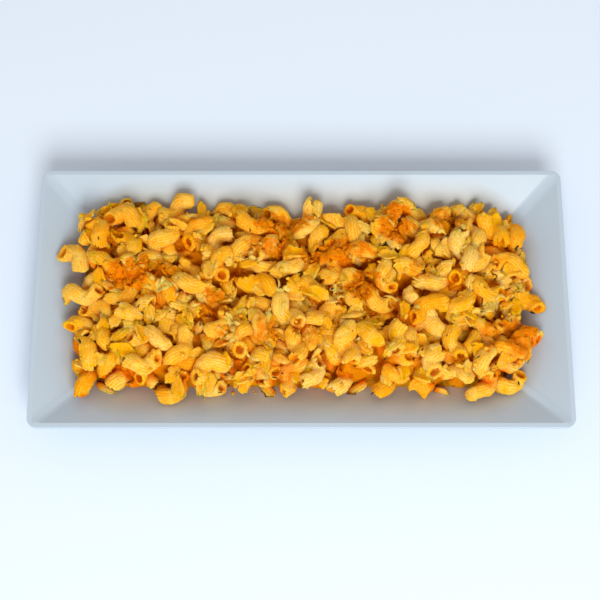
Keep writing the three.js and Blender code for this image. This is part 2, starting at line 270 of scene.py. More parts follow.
class Pile:
    """The heap of corkscrews, built up one falling corkscrew at a time."""

    def __init__(self, surfaces: Surfaces) -> None:
        """Lets every corkscrew fall.

        Args:
            surfaces: What the corkscrews fall on, and how high the heap is filled.
        """
        self.surfaces = surfaces
        self.sizes = sizes = surfaces.heap
        self.cell = 2 * sizes.tube_radius
        self.cells: dict[tuple[int, int], list[tuple[float, float, float]]] = {}
        self.noodles: list[Corkscrew] = []
        self.draw = SeededDraws(sizes.seed)
        inset = sizes.ball_inset
        self.shares = [inset + (1 - 2 * inset) * i / (sizes.balls - 1) for i in range(sizes.balls)]
        for number in range(sizes.count):
            self.drop(number)

    def balls(self, noodle: Corkscrew) -> list[tuple[float, float, float]]:
        """Finds the points of a corkscrew that it rests by.

        The sums are those of the part's source, in plain numbers, so that both heaps are the same.

        Args:
            noodle: The corkscrew.

        Returns:
            Points along its middle line.
        """
        cos_tilt, sin_tilt = math.cos(noodle.tilt), math.sin(noodle.tilt)
        cos_yaw, sin_yaw = math.cos(noodle.yaw), math.sin(noodle.yaw)
        found = []
        for share in self.shares:
            along = (share - 0.5) * noodle.turns * noodle.pitch
            angle = noodle.phase + (share - 0.5) * noodle.turns * FULL_TURN
            side = noodle.coil * math.cos(angle)
            up = noodle.coil * math.sin(angle)
            level = along * cos_tilt - up * sin_tilt
            x = noodle.x + level * cos_yaw - side * sin_yaw
            y = noodle.y + level * sin_yaw + side * cos_yaw
            found.append((x, y, noodle.z + along * sin_tilt + up * cos_tilt))
        return found

    def rest(self, x: float, y: float) -> float:
        """Finds the lowest height at which a ball of a corkscrew rests.

        Args:
            x: A place along the dish.
            y: A place across the dish.

        Returns:
            The height of the ball's middle.
        """
        sizes = self.sizes
        height = max(self.surfaces.tube_on_dish(x, y), sizes.bed_top + sizes.tube_radius)
        reach = (2 * (sizes.tube_radius - sizes.softness)) ** 2
        column, row = math.floor(x / self.cell), math.floor(y / self.cell)
        for i in range(column - 1, column + 2):
            for j in range(row - 1, row + 2):
                for ball_x, ball_y, ball_z in self.cells.get((i, j), ()):
                    left = reach - (ball_x - x) ** 2 - (ball_y - y) ** 2
                    if left > 0:
                        height = max(height, ball_z + math.sqrt(left))
        return height

    def settled(
        self, turns: float, coil: float, tilt: tuple[float, float], rests: int
    ) -> tuple[float, Corkscrew]:
        """Lets a corkscrew down in a random place and way until it touches.

        Args:
            turns: The corkscrew's turns.
            coil: The radius that it is wound at.
            tilt: The least and the most that it may tilt.
            rests: How many of its highest points carry it.

        Returns:
            How badly it lies, and the corkscrew in its place.
        """
        draw, sizes, surfaces = self.draw, self.sizes, self.surfaces
        half_x, half_y = surfaces.dish.floor_half
        spread = surfaces.outline_reach - sizes.outline_inset
        x = between((-1, 1), draw()) * (half_x + spread)
        y = between((-1, 1), draw()) * (half_y + spread)
        yaw = draw() * FULL_TURN
        lean = between(tilt, draw())
        phase = draw() * FULL_TURN
        balls = self.balls(Corkscrew(x, y, 0, yaw, lean, phase, turns, coil, sizes.coil_pitch))
        balls.sort(key=lambda ball: -ball[2])
        lift = max(
            max(self.rest(bx, by) - bz for bx, by, bz in balls[:rests]),
            max(surfaces.tube_on_dish(bx, by) - bz for bx, by, bz in balls),
        )
        outside = max(-surfaces.inside(bx, by) for bx, by, _ in balls) - sizes.overhang
        above = lift + balls[0][2] - surfaces.full_height(x, y)
        cost = above + sizes.outside_cost * max(outside, 0)
        return cost, Corkscrew(x, y, lift, yaw, lean, phase, turns, coil, sizes.coil_pitch)

    def drop(self, number: int) -> None:
        """Lets one corkscrew fall and keeps the lowest of several ways to lie.

        Args:
            number: The corkscrew's number, which says whether it stands on end.
        """
        sizes = self.sizes
        turns = between(sizes.turns, self.draw())
        coil = between(sizes.coil_radius, self.draw())
        standing = number % sizes.standing_every == 0
        tilt = sizes.standing_tilt if standing else (-sizes.lying_tilt, sizes.lying_tilt)
        rests = sizes.standing_rests if standing else sizes.balls
        ways = [self.settled(turns, coil, tilt, rests) for _ in range(sizes.tries)]
        noodle = min(ways, key=lambda way: way[0])[1]
        self.noodles.append(noodle)
        for ball in self.balls(noodle):
            key = (math.floor(ball[0] / self.cell), math.floor(ball[1] / self.cell))
            self.cells.setdefault(key, []).append(ball)


# Patterns that need no picture


class Ripples:
    """A smooth random field made of many crossing waves."""

    spread = (0.6, 1.7)

    def __init__(self, seed: int, scale: float, waves: int = 24) -> None:
        """Draws the waves.

        Args:
            seed: The number that the draws start from.
            scale: The length of a typical wave.
            waves: How many waves cross.
        """
        draws = np.random.default_rng(seed)
        direction = draws.normal(size=(waves, 3))
        direction /= np.linalg.norm(direction, axis=1, keepdims=True)
        length = scale * draws.uniform(*self.spread, (waves, 1))
        self.waves = direction * FULL_TURN / length
        self.starts = draws.uniform(0, FULL_TURN, waves)
        self.strength = math.sqrt(2 / waves)

    def at(self, points: np.ndarray) -> np.ndarray:
        """Returns the field at each x, y, z row, mostly from -2 to 2."""
        return np.sin(points @ self.waves.T + self.starts).sum(axis=1) * self.strength


def smooth_step(low: float, high: float, value: np.ndarray) -> np.ndarray:
    """Returns 0 below a range and 1 above it, with an even change between."""
    share = np.clip((value - low) / (high - low), 0, 1)
    return share * share * (3 - 2 * share)


def blurred(heights: np.ndarray, reach: int) -> np.ndarray:
    """Softens a grid of heights.

    Args:
        heights: The grid.
        reach: How many cells the softening spreads each way.

    Returns:
        The softened grid, of the same size.
    """
    offsets = np.arange(-2 * reach, 2 * reach + 1)
    weights = np.exp(-((offsets / reach) ** 2))
    weights /= weights.sum()
    padded = np.pad(heights, 2 * reach, mode="edge")
    rows = sum(weight * padded[:, i : i + heights.shape[1]] for i, weight in enumerate(weights))
    return sum(weight * rows[i : i + heights.shape[0]] for i, weight in enumerate(weights))


def grown(heights: np.ndarray, reach: int) -> np.ndarray:
    """Spreads every height of a grid sideways.

    Args:
        heights: The grid.
        reach: How many cells each height spreads.

    Returns:
        The grid of the highest heights in reach.
    """
    height, width = heights.shape
    padded = np.pad(heights, reach, mode="edge")
    best = heights.copy()
    for i in range(-reach, reach + 1):
        for j in range(-reach, reach + 1):
            if i * i + j * j <= reach * reach:
                part = padded[reach + i : reach + i + height, reach + j : reach + j + width]
                np.maximum(best, part, out=best)
    return best


@dataclass(frozen=True)
class Patch:
    """A patch of the heap's top: its middle, and its reach along the dish and across it."""

    x: float
    y: float
    reach_x: float
    reach_y: float
    strength: float = 1.0

    def somewhere(self, draws: np.random.Generator, spread: float) -> tuple[float, float]:
        """Draws a place in the patch, mostly within a share of its reach."""
        return (
            self.x + draws.normal(0, spread) * self.reach_x,
            self.y + draws.normal(0, spread) * self.reach_y,
        )


# Where the grill browned the cheese
BROWNED_PATCHES = (
    Patch(-12, 41, 17, 9),
    Patch(-17, 27, 15, 8, 0.8),
    Patch(-92, 11, 22, 9),
    Patch(-49, -8, 13, 7, 0.9),
    Patch(-42, -30, 10, 9, 0.6),
    Patch(20, 22, 19, 10),
    Patch(34, 3, 11, 10),
    Patch(56, 39, 12, 13),
    Patch(86, 44, 13, 8, 0.7),
    Patch(69, 12, 9, 6, 0.5),
    Patch(124, -26, 13, 13, 0.9),
    Patch(106, -27, 8, 10, 0.8),
    Patch(-20, -24, 10, 8, 0.7),
    Patch(6, -26, 12, 6, 0.5),
    Patch(-60, 44, 8, 5, 0.5),
)

# Where frayed pale strips lie in tufts: the strength is how many there are
PALE_TUFTS = (
    Patch(-78, 5, 9, 9, 8),
    Patch(108, -8, 11, 6, 12),
    Patch(-44, -26, 12, 8, 9),
    Patch(-62, -4, 8, 8, 4),
    Patch(-10, -4, 10, 8, 5),
    Patch(22, -4, 12, 7, 5),
    Patch(88, 30, 12, 9, 6),
    Patch(55, -10, 12, 8, 4),
    Patch(-25, 25, 9, 6, 4),
)


def look_rows(
    tone: float, brown: np.ndarray, depth: float | np.ndarray, ridge: float | np.ndarray
) -> np.ndarray:
    """Lists what a material reads at each point.

    Args:
        tone: The thing's own tone.
        brown: How brown the grill made each point.
        depth: How deep each point lies in the heap.
        ridge: How far out each point stands on a ridge.

    Returns:
        One row of the four values for each point.
    """
    return np.column_stack(np.broadcast_arrays(tone, brown, depth, ridge))


@dataclass
class HeapTop:
    """A fine grid of the heap's top heights, and what the grill did to each place."""

    pile: Pile
    step: float = 0.5
    reach_x: float = 150.0
    reach_y: float = 76.0
    noodle_steps: int = 36
    clearance: float = 0.15
    spread_cells: int = 4
    soft_cells: int = 6
    broad_waves: float = 16
    broad_wander: float = 0.16
    fine_waves: float = 5
    fine_wander: float = 0.13
    patch_fade: tuple[float, float] = (0.62, 1.12)
    grilled_depth: tuple[float, float] = (1.0, 6.5)
    shaded_depth: tuple[float, float] = (2.5, 10.5)

    def __post_init__(self) -> None:
        """Draws every corkscrew into the grid."""
        self.columns = int(2 * self.reach_x / self.step) + 1
        self.rows = int(2 * self.reach_y / self.step) + 1
        xs = np.linspace(-self.reach_x, self.reach_x, self.columns)
        ys = np.linspace(-self.reach_y, self.reach_y, self.rows)
        self.grid_x, self.grid_y = np.meshgrid(xs, ys)
        dish = self.pile.surfaces.dish
        half_x, half_y = dish.floor_half
        beyond = np.maximum(np.abs(self.grid_x) - half_x, np.abs(self.grid_y) - half_y)
        self.dish = dish.floor_top + np.maximum(beyond, 0) * dish.wall_slope
        self.height = np.maximum(self.dish, self.pile.sizes.bed_top)
        for noodle in self.pile.noodles:
            self.raise_by(noodle, self.pile.sizes.tube_radius)
        self.soft = blurred(grown(self.height, self.spread_cells), self.soft_cells)
        self.brown = self.browning()

    def raise_by(self, noodle: Corkscrew, radius: float) -> None:
        """Raises the heights under one corkscrew.

        Args:
            noodle: The corkscrew.
            radius: Its tube's radius.
        """
        for x, y, z in noodle.points(np.linspace(0, 1, self.noodle_steps)):
            left, right = self.column(x - radius), self.column(x + radius) + 1
            low, high = self.row(y - radius), self.row(y + radius) + 1
            window = (slice(low, high), slice(left, right))
            across = (self.grid_x[window] - x) ** 2 + (self.grid_y[window] - y) ** 2
            rise = np.sqrt(np.maximum(radius**2 - across, 0))
            top = np.where(across < radius**2, z + rise, 0)
            self.height[window] = np.maximum(self.height[window], top)

    def column(self, x: float) -> int:
        """Returns the grid column nearest to a place."""
        return int(np.clip(round((x + self.reach_x) / self.step), 0, self.columns - 1))

    def row(self, y: float) -> int:
        """Returns the grid row nearest to a place."""
        return int(np.clip(round((y + self.reach_y) / self.step), 0, self.rows - 1))

    def ripples(self, seed: int, scale: float) -> np.ndarray:
        """Works out crossing waves at every place.

        Args:
            seed: The number that the draws start from.
            scale: The length of a typical wave.

        Returns:
            A grid, mostly from -2 to 2.
        """
        level = np.zeros(self.grid_x.size)
        points = np.column_stack((self.grid_x.ravel(), self.grid_y.ravel(), level))
        return Ripples(seed, scale).at(points).reshape(self.grid_x.shape)

    def browning(self) -> np.ndarray:
        """Works out how brown the grill made each place.

        Returns:
            A grid from 0, untouched, to 1, browned.
        """
        ragged = self.broad_wander * self.ripples(seed=11, scale=self.broad_waves)
        ragged += self.fine_wander * self.ripples(seed=12, scale=self.fine_waves)
        brown = np.zeros_like(self.grid_x)
        for patch in BROWNED_PATCHES:
            along = (self.grid_x - patch.x) / patch.reach_x
            across = (self.grid_y - patch.y) / patch.reach_y
            fade = 1 - smooth_step(*self.patch_fade, np.hypot(along, across) + ragged)
            brown = np.maximum(brown, patch.strength * fade)
        return brown

    def sample(
        self, grid: np.ndarray, x: float | np.ndarray, y: float | np.ndarray
    ) -> float | np.ndarray:
        """Reads a grid at a place or at many, evenly between its points.

        Args:
            grid: The grid to read.
            x: Places along the dish.
            y: Places across the dish.

        Returns:
            One value for each place.
        """
        across = np.clip((x + self.reach_x) / self.step, 0, self.columns - 1)
        down = np.clip((y + self.reach_y) / self.step, 0, self.rows - 1)
        i = np.minimum(down, self.rows - 2).astype(int)
        j = np.minimum(across, self.columns - 2).astype(int)
        v, u = down - i, across - j
        low = grid[i, j] * (1 - u) + grid[i, j + 1] * u
        high = grid[i + 1, j] * (1 - u) + grid[i + 1, j + 1] * u
        return low * (1 - v) + high * v

    def over(self, grid: np.ndarray, points: np.ndarray) -> np.ndarray:
        """Returns a grid's values over or under some points."""
        return self.sample(grid, points[:, 0], points[:, 1])

    def on_the_dish(self, points: np.ndarray) -> np.ndarray:
        """Flattens what would sink into the dish, as soft food does.

        Args:
            points: The x, y, z rows of a piece.

        Returns:
            The rows, none of them below the dish's inner surface.
        """
        lowest = self.over(self.dish, points) + self.clearance
        return np.column_stack((points[:, :2], np.maximum(points[:, 2], lowest)))

    def looks(self, points: np.ndarray, tone: float, ridge: np.ndarray) -> np.ndarray:
        """Works out a piece's browning, and its painted shade by depth: only its top browns.

        Args:
            points: The x, y, z rows of a piece.
            tone: Its own tone.
            ridge: How far out each point stands on a ridge.

        Returns:
            Four values for each point.
        """
        below = self.over(self.soft, points) - points[:, 2]
        brown = self.over(self.brown, points) * (1 - smooth_step(*self.grilled_depth, below))
        return look_rows(tone, brown, smooth_step(*self.shaded_depth, below), ridge)


# Meshes from arrays


@dataclass
class Skin:
    """Vertices, faces and looks that several things share before they become one mesh."""

    points: list[np.ndarray] = field(default_factory=list)
    faces: list[np.ndarray] = field(default_factory=list)
    looks: list[np.ndarray] = field(default_factory=list)
    size: int = 0

    def add(self, points: np.ndarray, looks: np.ndarray, *faces: np.ndarray) -> None:
        """Adds one thing.

        Args:
            points: Its x, y, z rows.
            looks: Four values for each point, which its material reads.
            faces: Rows of its corner numbers, three or four to a face.
        """
        self.points.append(points)
        self.looks.append(looks)
        self.faces.extend(rows + self.size for rows in faces)
        self.size += len(points)

    def add_tube(self, points: np.ndarray, looks: np.ndarray, rings: int) -> None:
        """Adds a closed tube of rings, with a point in the middle of each end.

        Args:
            points: The points of its rings, then the middles of its first and its last end.
            looks: Four values for each point.
            rings: How many rings it has.
        """
        first_middle, last_middle = len(points) - 2, len(points) - 1
        sides = first_middle // rings
        side = np.arange(sides)
        after = (side + 1) % sides
        ring = np.arange(rings - 1)[:, None] * sides
        walls = np.stack((ring + side, ring + after, ring + sides + after, ring + sides + side), axis=-1)
        last = (rings - 1) * sides
        first_end = np.column_stack((after, side, np.full(sides, first_middle)))
        last_end = np.column_stack((last + side, last + after, np.full(sides, last_middle)))
        self.add(points, looks, walls.reshape(-1, 4), first_end, last_end)

    def make(self, name: str, material: bpy.types.Material) -> bpy.types.Object:
        """Makes the mesh object.

        Args:
            name: The piece's name.
            material: Its material.

        Returns:
            The new object, at the origin.
        """
        mesh = bpy.data.meshes.new(name)
        faces = [row for rows in self.faces for row in rows.tolist()]
        mesh.from_pydata((np.concatenate(self.points) * MM).tolist(), [], faces)
        looks = mesh.color_attributes.new("look", "FLOAT_COLOR", "POINT")
        looks.data.foreach_set("color", np.concatenate(self.looks).astype(np.float32).ravel())
        mesh.polygons.foreach_set("use_smooth", np.ones(len(mesh.polygons), dtype=bool))
        mesh.materials.append(material)
        mesh.validate()
        mesh.update()
        piece = bpy.data.objects.new(name, mesh)
        bpy.context.scene.collection.objects.link(piece)
        return piece


def with_ends(points: np.ndarray, rings: int) -> np.ndarray:
    """Returns a tube's points, followed by the middles of its first and its last ring."""
    return np.concatenate((points, points.reshape(rings, -1, 3)[[0, -1]].mean(axis=1)))


# Finishes


def linear(hex_colour: str) -> tuple[float, float, float, float]:
    """Turns an sRGB colour into the linear values that a shader takes.

    Args:
        hex_colour: The colour, as # and six hex digits.

    Returns:
        Red, green, blue and full cover.
    """
    parts = [int(hex_colour[i : i + 2], 16) / 255 for i in (1, 3, 5)]
    turned = [c / 12.92 if c <= 0.04045 else ((c + 0.055) / 1.055) ** 2.4 for c in parts]
    return (*turned, 1.0)


def add_node(
    tree: bpy.types.NodeTree, kind: str, settings: dict[str | int, object], **links: object
) -> bpy.types.Node:
    """Adds a shader node with its settings and links.

    Args:
        tree: The material's node tree.
        kind: The node's type name.
        settings: Properties of the node, or input values by socket name or number.
        links: Output sockets to link, by input name with spaces as underscores, or input_N.

    Returns:
        The new node.
    """
    node = tree.nodes.new(kind)
    for name, value in settings.items():
        if isinstance(name, str) and hasattr(node, name):
            setattr(node, name, value)
        else:
            node.inputs[name].default_value = value
    for name, socket in links.items():
        numbered = name.removeprefix("input_")
        key = int(numbered) if numbered != name else name.replace("_", " ")
        tree.links.new(socket, node.inputs[key])
    return node


def new_material(name: str) -> tuple[bpy.types.Material, bpy.types.NodeTree]:
    """Makes a material with no nodes.

    Args:
        name: The material's name.

    Returns:
        The material and its node tree.
    """
    material = bpy.data.materials.new(name)
    material.use_nodes = True
    material.node_tree.nodes.clear()
    return material, material.node_tree


@dataclass(frozen=True)
class GlazedPorcelain:
    """Hard white porcelain, slip cast and glazed: even, cool white and glossy.

    Beside the food the glaze takes a warm tint: painted reflection and bounce light from the food.
    """

    surfaces: Surfaces
    glaze: str = "#B1C2D2"
    # A warm tint beside the food: painted reflection and bounce light from the food
    painted_food_reflection: str = "#AA9E7C"
    # The glaze pools a little, so reflections bend over tens of millimetres
    pool_mm: float = 38
    pool_depth_mm: float = 0.6
    pool_strength: float = 0.12
    # The painted reflection fades out between these distances past the heap's outline, reaches less far
    # along the sides, and is this strong
    painted_reflection_ends_mm: float = 11
    painted_reflection_starts_mm: float = -2
    painted_reflection_side_mm: float = 9
    painted_reflection_cover: float = 0.6
    roughness: float = 0.24

    def material(self) -> bpy.types.Material:
        """Makes the glaze's material.

        Returns:
            The material.
        """
        made, tree = new_material("glazed_porcelain")
        place = add_node(tree, "ShaderNodeTexCoord", {}).outputs["Object"]
        pool = add_node(
            tree,
            "ShaderNodeTexNoise",
            {"Scale": 1 / (self.pool_mm * MM), "Detail": 2.0},
            Vector=place,
        )
        bump = add_node(
            tree,
            "ShaderNodeBump",
            {"Strength": self.pool_strength, "Distance": self.pool_depth_mm * MM},
            Height=pool.outputs["Fac"],
        )
        # The distance outwards from the rectangle that the heap's outline lies round
        inner_x, inner_y = self.surfaces.inner_half
        corner = ((inner_x - self.painted_reflection_side_mm) * MM, inner_y * MM, 1.0)
        away = place
        for operation, value in (
            ("ABSOLUTE", (0, 0, 0)),
            ("SUBTRACT", corner),
            ("MAXIMUM", (0, 0, 0)),
            ("LENGTH", (0, 0, 0)),
        ):
            step = add_node(
                tree, "ShaderNodeVectorMath", {"operation": operation, 1: value}, input_0=away
            )
            away = step.outputs["Value" if operation == "LENGTH" else "Vector"]
        edge_mm = self.surfaces.outline_reach
        # Painted reflection: the glaze turns warm near the food, standing in for the food's reflection
        # and bounce light
        film = add_node(
            tree,
            "ShaderNodeMapRange",
            {
                "From Min": (edge_mm + self.painted_reflection_starts_mm) * MM,
                "From Max": (edge_mm + self.painted_reflection_ends_mm) * MM,
                "To Min": self.painted_reflection_cover,
                "To Max": 0.0,
            },
            Value=away,
        )
        colour = add_node(
            tree,
            "ShaderNodeMix",
            {"data_type": "RGBA", 6: linear(self.glaze), 7: linear(self.painted_food_reflection)},
            input_0=film.outputs["Result"],
        )
        shader = add_node(
            tree,
            "ShaderNodeBsdfPrincipled",
            {"Roughness": self.roughness, "IOR": 1.5},
            Base_Color=colour.outputs[2],
            Normal=bump.outputs["Normal"],
        )
        add_node(tree, "ShaderNodeOutputMaterial", {}, Surface=shader.outputs["BSDF"])
        return made


@dataclass(frozen=True)
class CheesePasta:
    """Cooked durum pasta coated in cheddar sauce: pale on its ridges, orange where sauce lies.

    The look attribute holds the piece's own tone, how brown the grill made it, how deep it lies in the
    heap, and how far out it stands on a ridge. Deep places take a darker orange, as painted shade.
    """

    name: str
    pale: str
    sauce: str
    # Painted shade: deep in the heap the pasta takes this darker, warmer orange
    deep: str = "#F07C00"
    browned: str = "#E88200"
    burnt: str = "#8A2C00"
    # Sauce gathers in blotches, curds and starch leave a fine grain, and the grill catches spots
    mottle_mm: float = 5
    grain_mm: float = 0.9
    spot_mm: float = 3.2
    # How much pale pasta shows, by ridge, blotch, grain and own tone
    ridge_share: float = 0.34
    mottle_share: float = 0.9
    grain_share: float = 1.5
    tone_share: float = 0.3
    paling: tuple[float, float] = (1.32, 1.97)
    # How brown the grill must make a place for it to turn, and the spots that turn first
    spot_share: float = 1.8
    browning: tuple[float, float] = (1.02, 1.8)
    burning: tuple[float, float] = (1.95, 2.3)
    most_burnt: float = 0.9
    # A moist coat: soft highlights, a little light let through, and relief from the grain
    roughness: tuple[float, float] = (0.34, 0.62)
    relief: float = 0.9
    relief_mm: float = 1
    depth_of_light_mm: float = 4

    def material(self) -> bpy.types.Material:
        """Makes the sauced pasta's material.

        Returns:
            The material.
        """
        made, tree = new_material(self.name)
        place = add_node(tree, "ShaderNodeTexCoord", {}).outputs["Object"]
        look = add_node(tree, "ShaderNodeAttribute", {"attribute_name": "look"}).outputs
        split = add_node(tree, "ShaderNodeSeparateColor", {}, Color=look["Color"])
        tone, brown, depth = split.outputs
        mottle, grain, spots = (
            add_node(
                tree,
                "ShaderNodeTexNoise",
                {"Scale": 1 / (size_mm * MM), "Detail": detail, "Roughness": roughness},
                Vector=place,
            ).outputs["Fac"]
            for size_mm, detail, roughness in (
                (self.mottle_mm, 3.0, 0.6),
                (self.grain_mm, 3.0, 0.65),
                (self.spot_mm, 2.0, 0.7),
            )
        )
        grilled = add_node(
            tree,
            "ShaderNodeMath",
            {"operation": "MULTIPLY_ADD", 1: self.spot_share},
            input_0=spots,
            input_2=brown,
        ).outputs[0]
        before = {}
        for socket, share in (
            (look["Alpha"], self.ridge_share),
            (mottle, self.mottle_share),
            (grain, self.grain_share),
            (tone, self.tone_share),
        ):
            summed = add_node(
                tree,
                "ShaderNodeMath",
                {"operation": "MULTIPLY_ADD", 1: share, 2: 0.0},
                input_0=socket,
                **before,
            ).outputs[0]
            before = {"input_2": summed}
        paled, gilded, charred, rough = (
            add_node(
                tree,
                "ShaderNodeMapRange",
                {"From Min": low, "From Max": high, "To Min": least, "To Max": most},
                Value=socket,
            ).outputs["Result"]
            for socket, (low, high), (least, most) in (
                (summed, self.paling, (0, 1)),
                (grilled, self.browning, (0, 1)),
                (grilled, self.burning, (0, self.most_burnt)),
                (grain, (0, 1), self.roughness),
            )
        )
        # Each colour covers the ones before it
        before = {}
        for hex_colour, cover in (
            (self.pale, paled),
            # The deep colour, laid on by depth, is painted shade
            (self.deep, depth),
            (self.browned, gilded),
            (self.burnt, charred),
        ):
            colour = add_node(
                tree,
                "ShaderNodeMix",
                {"data_type": "RGBA", 6: linear(self.sauce), 7: linear(hex_colour)},
                input_0=cover,
                **before,
            ).outputs[2]
            before = {"input_6": colour}
        bump = add_node(
            tree,
            "ShaderNodeBump",
            {"Strength": self.relief, "Distance": self.relief_mm * MM},
            Height=grain,
        )
        shader = add_node(
            tree,
            "ShaderNodeBsdfPrincipled",
            {
                "IOR": 1.4,
                "Specular IOR Level": 0.08,
                "Subsurface Weight": 0.6,
                "Subsurface Radius": (1.0, 0.5, 0.15),
                "Subsurface Scale": self.depth_of_light_mm * MM,
            },
            Base_Color=colour,
            Roughness=rough,
            Normal=bump.outputs["Normal"],
        )
        add_node(tree, "ShaderNodeOutputMaterial", {}, Surface=shader.outputs["BSDF"])
        return made


@dataclass(frozen=True)
class DriedHerb:
    """Dried parsley and cracked pepper: dull, nearly black green flakes."""

    light: str = "#2C3014"
    dark: str = "#0E0F06"
    roughness: float = 0.75

    def material(self) -> bpy.types.Material:
        """Makes the herb's material.

        Returns:
            The material.
        """
        made, tree = new_material("dried_herb")
        look = add_node(tree, "ShaderNodeAttribute", {"attribute_name": "look"})
        split = add_node(tree, "ShaderNodeSeparateColor", {}, Color=look.outputs["Color"])
        colour = add_node(
            tree,
            "ShaderNodeMix",
            {"data_type": "RGBA", 6: linear(self.dark), 7: linear(self.light)},
            input_0=split.outputs["Red"],
        )
        shader = add_node(
            tree,
            "ShaderNodeBsdfPrincipled",
            {"Roughness": self.roughness},
            Base_Color=colour.outputs[2],
        )
        add_node(tree, "ShaderNodeOutputMaterial", {}, Surface=shader.outputs["BSDF"])
        return made


@dataclass(frozen=True)
class MattFloor:
    """A matt painted floor, pale and slightly blue."""

    paint: str = "#DBE9FB"
    roughness: float = 0.7

    def material(self) -> bpy.types.Material:
        """Makes the paint's material.

        Returns:
            The material.
        """
        made, tree = new_material("matt_floor")
        shader = add_node(
            tree,
            "ShaderNodeBsdfPrincipled",
            {"Base Color": linear(self.paint), "Roughness": self.roughness},
        )
        add_node(tree, "ShaderNodeOutputMaterial", {}, Surface=shader.outputs["BSDF"])
        return made


# The food


class MacaroniKind(Enum):
    """The four looks that the macaroni takes in the oven."""

    PALE = "pale_macaroni"
    CREAMY = "creamy_macaroni"
    SAUCED = "sauced_macaroni"
    GOLDEN = "golden_macaroni"


@dataclass(frozen=True)
class TubeEnd:
    """How slanted and how frayed a tube's end is."""

    slant: tuple[float, float]
    fray: tuple[float, float]


CUT_END = TubeEnd((0.1, 0.9), (0.08, 0.45))
TORN_END = TubeEnd((1.6, 3.4), (0.5, 1.1))


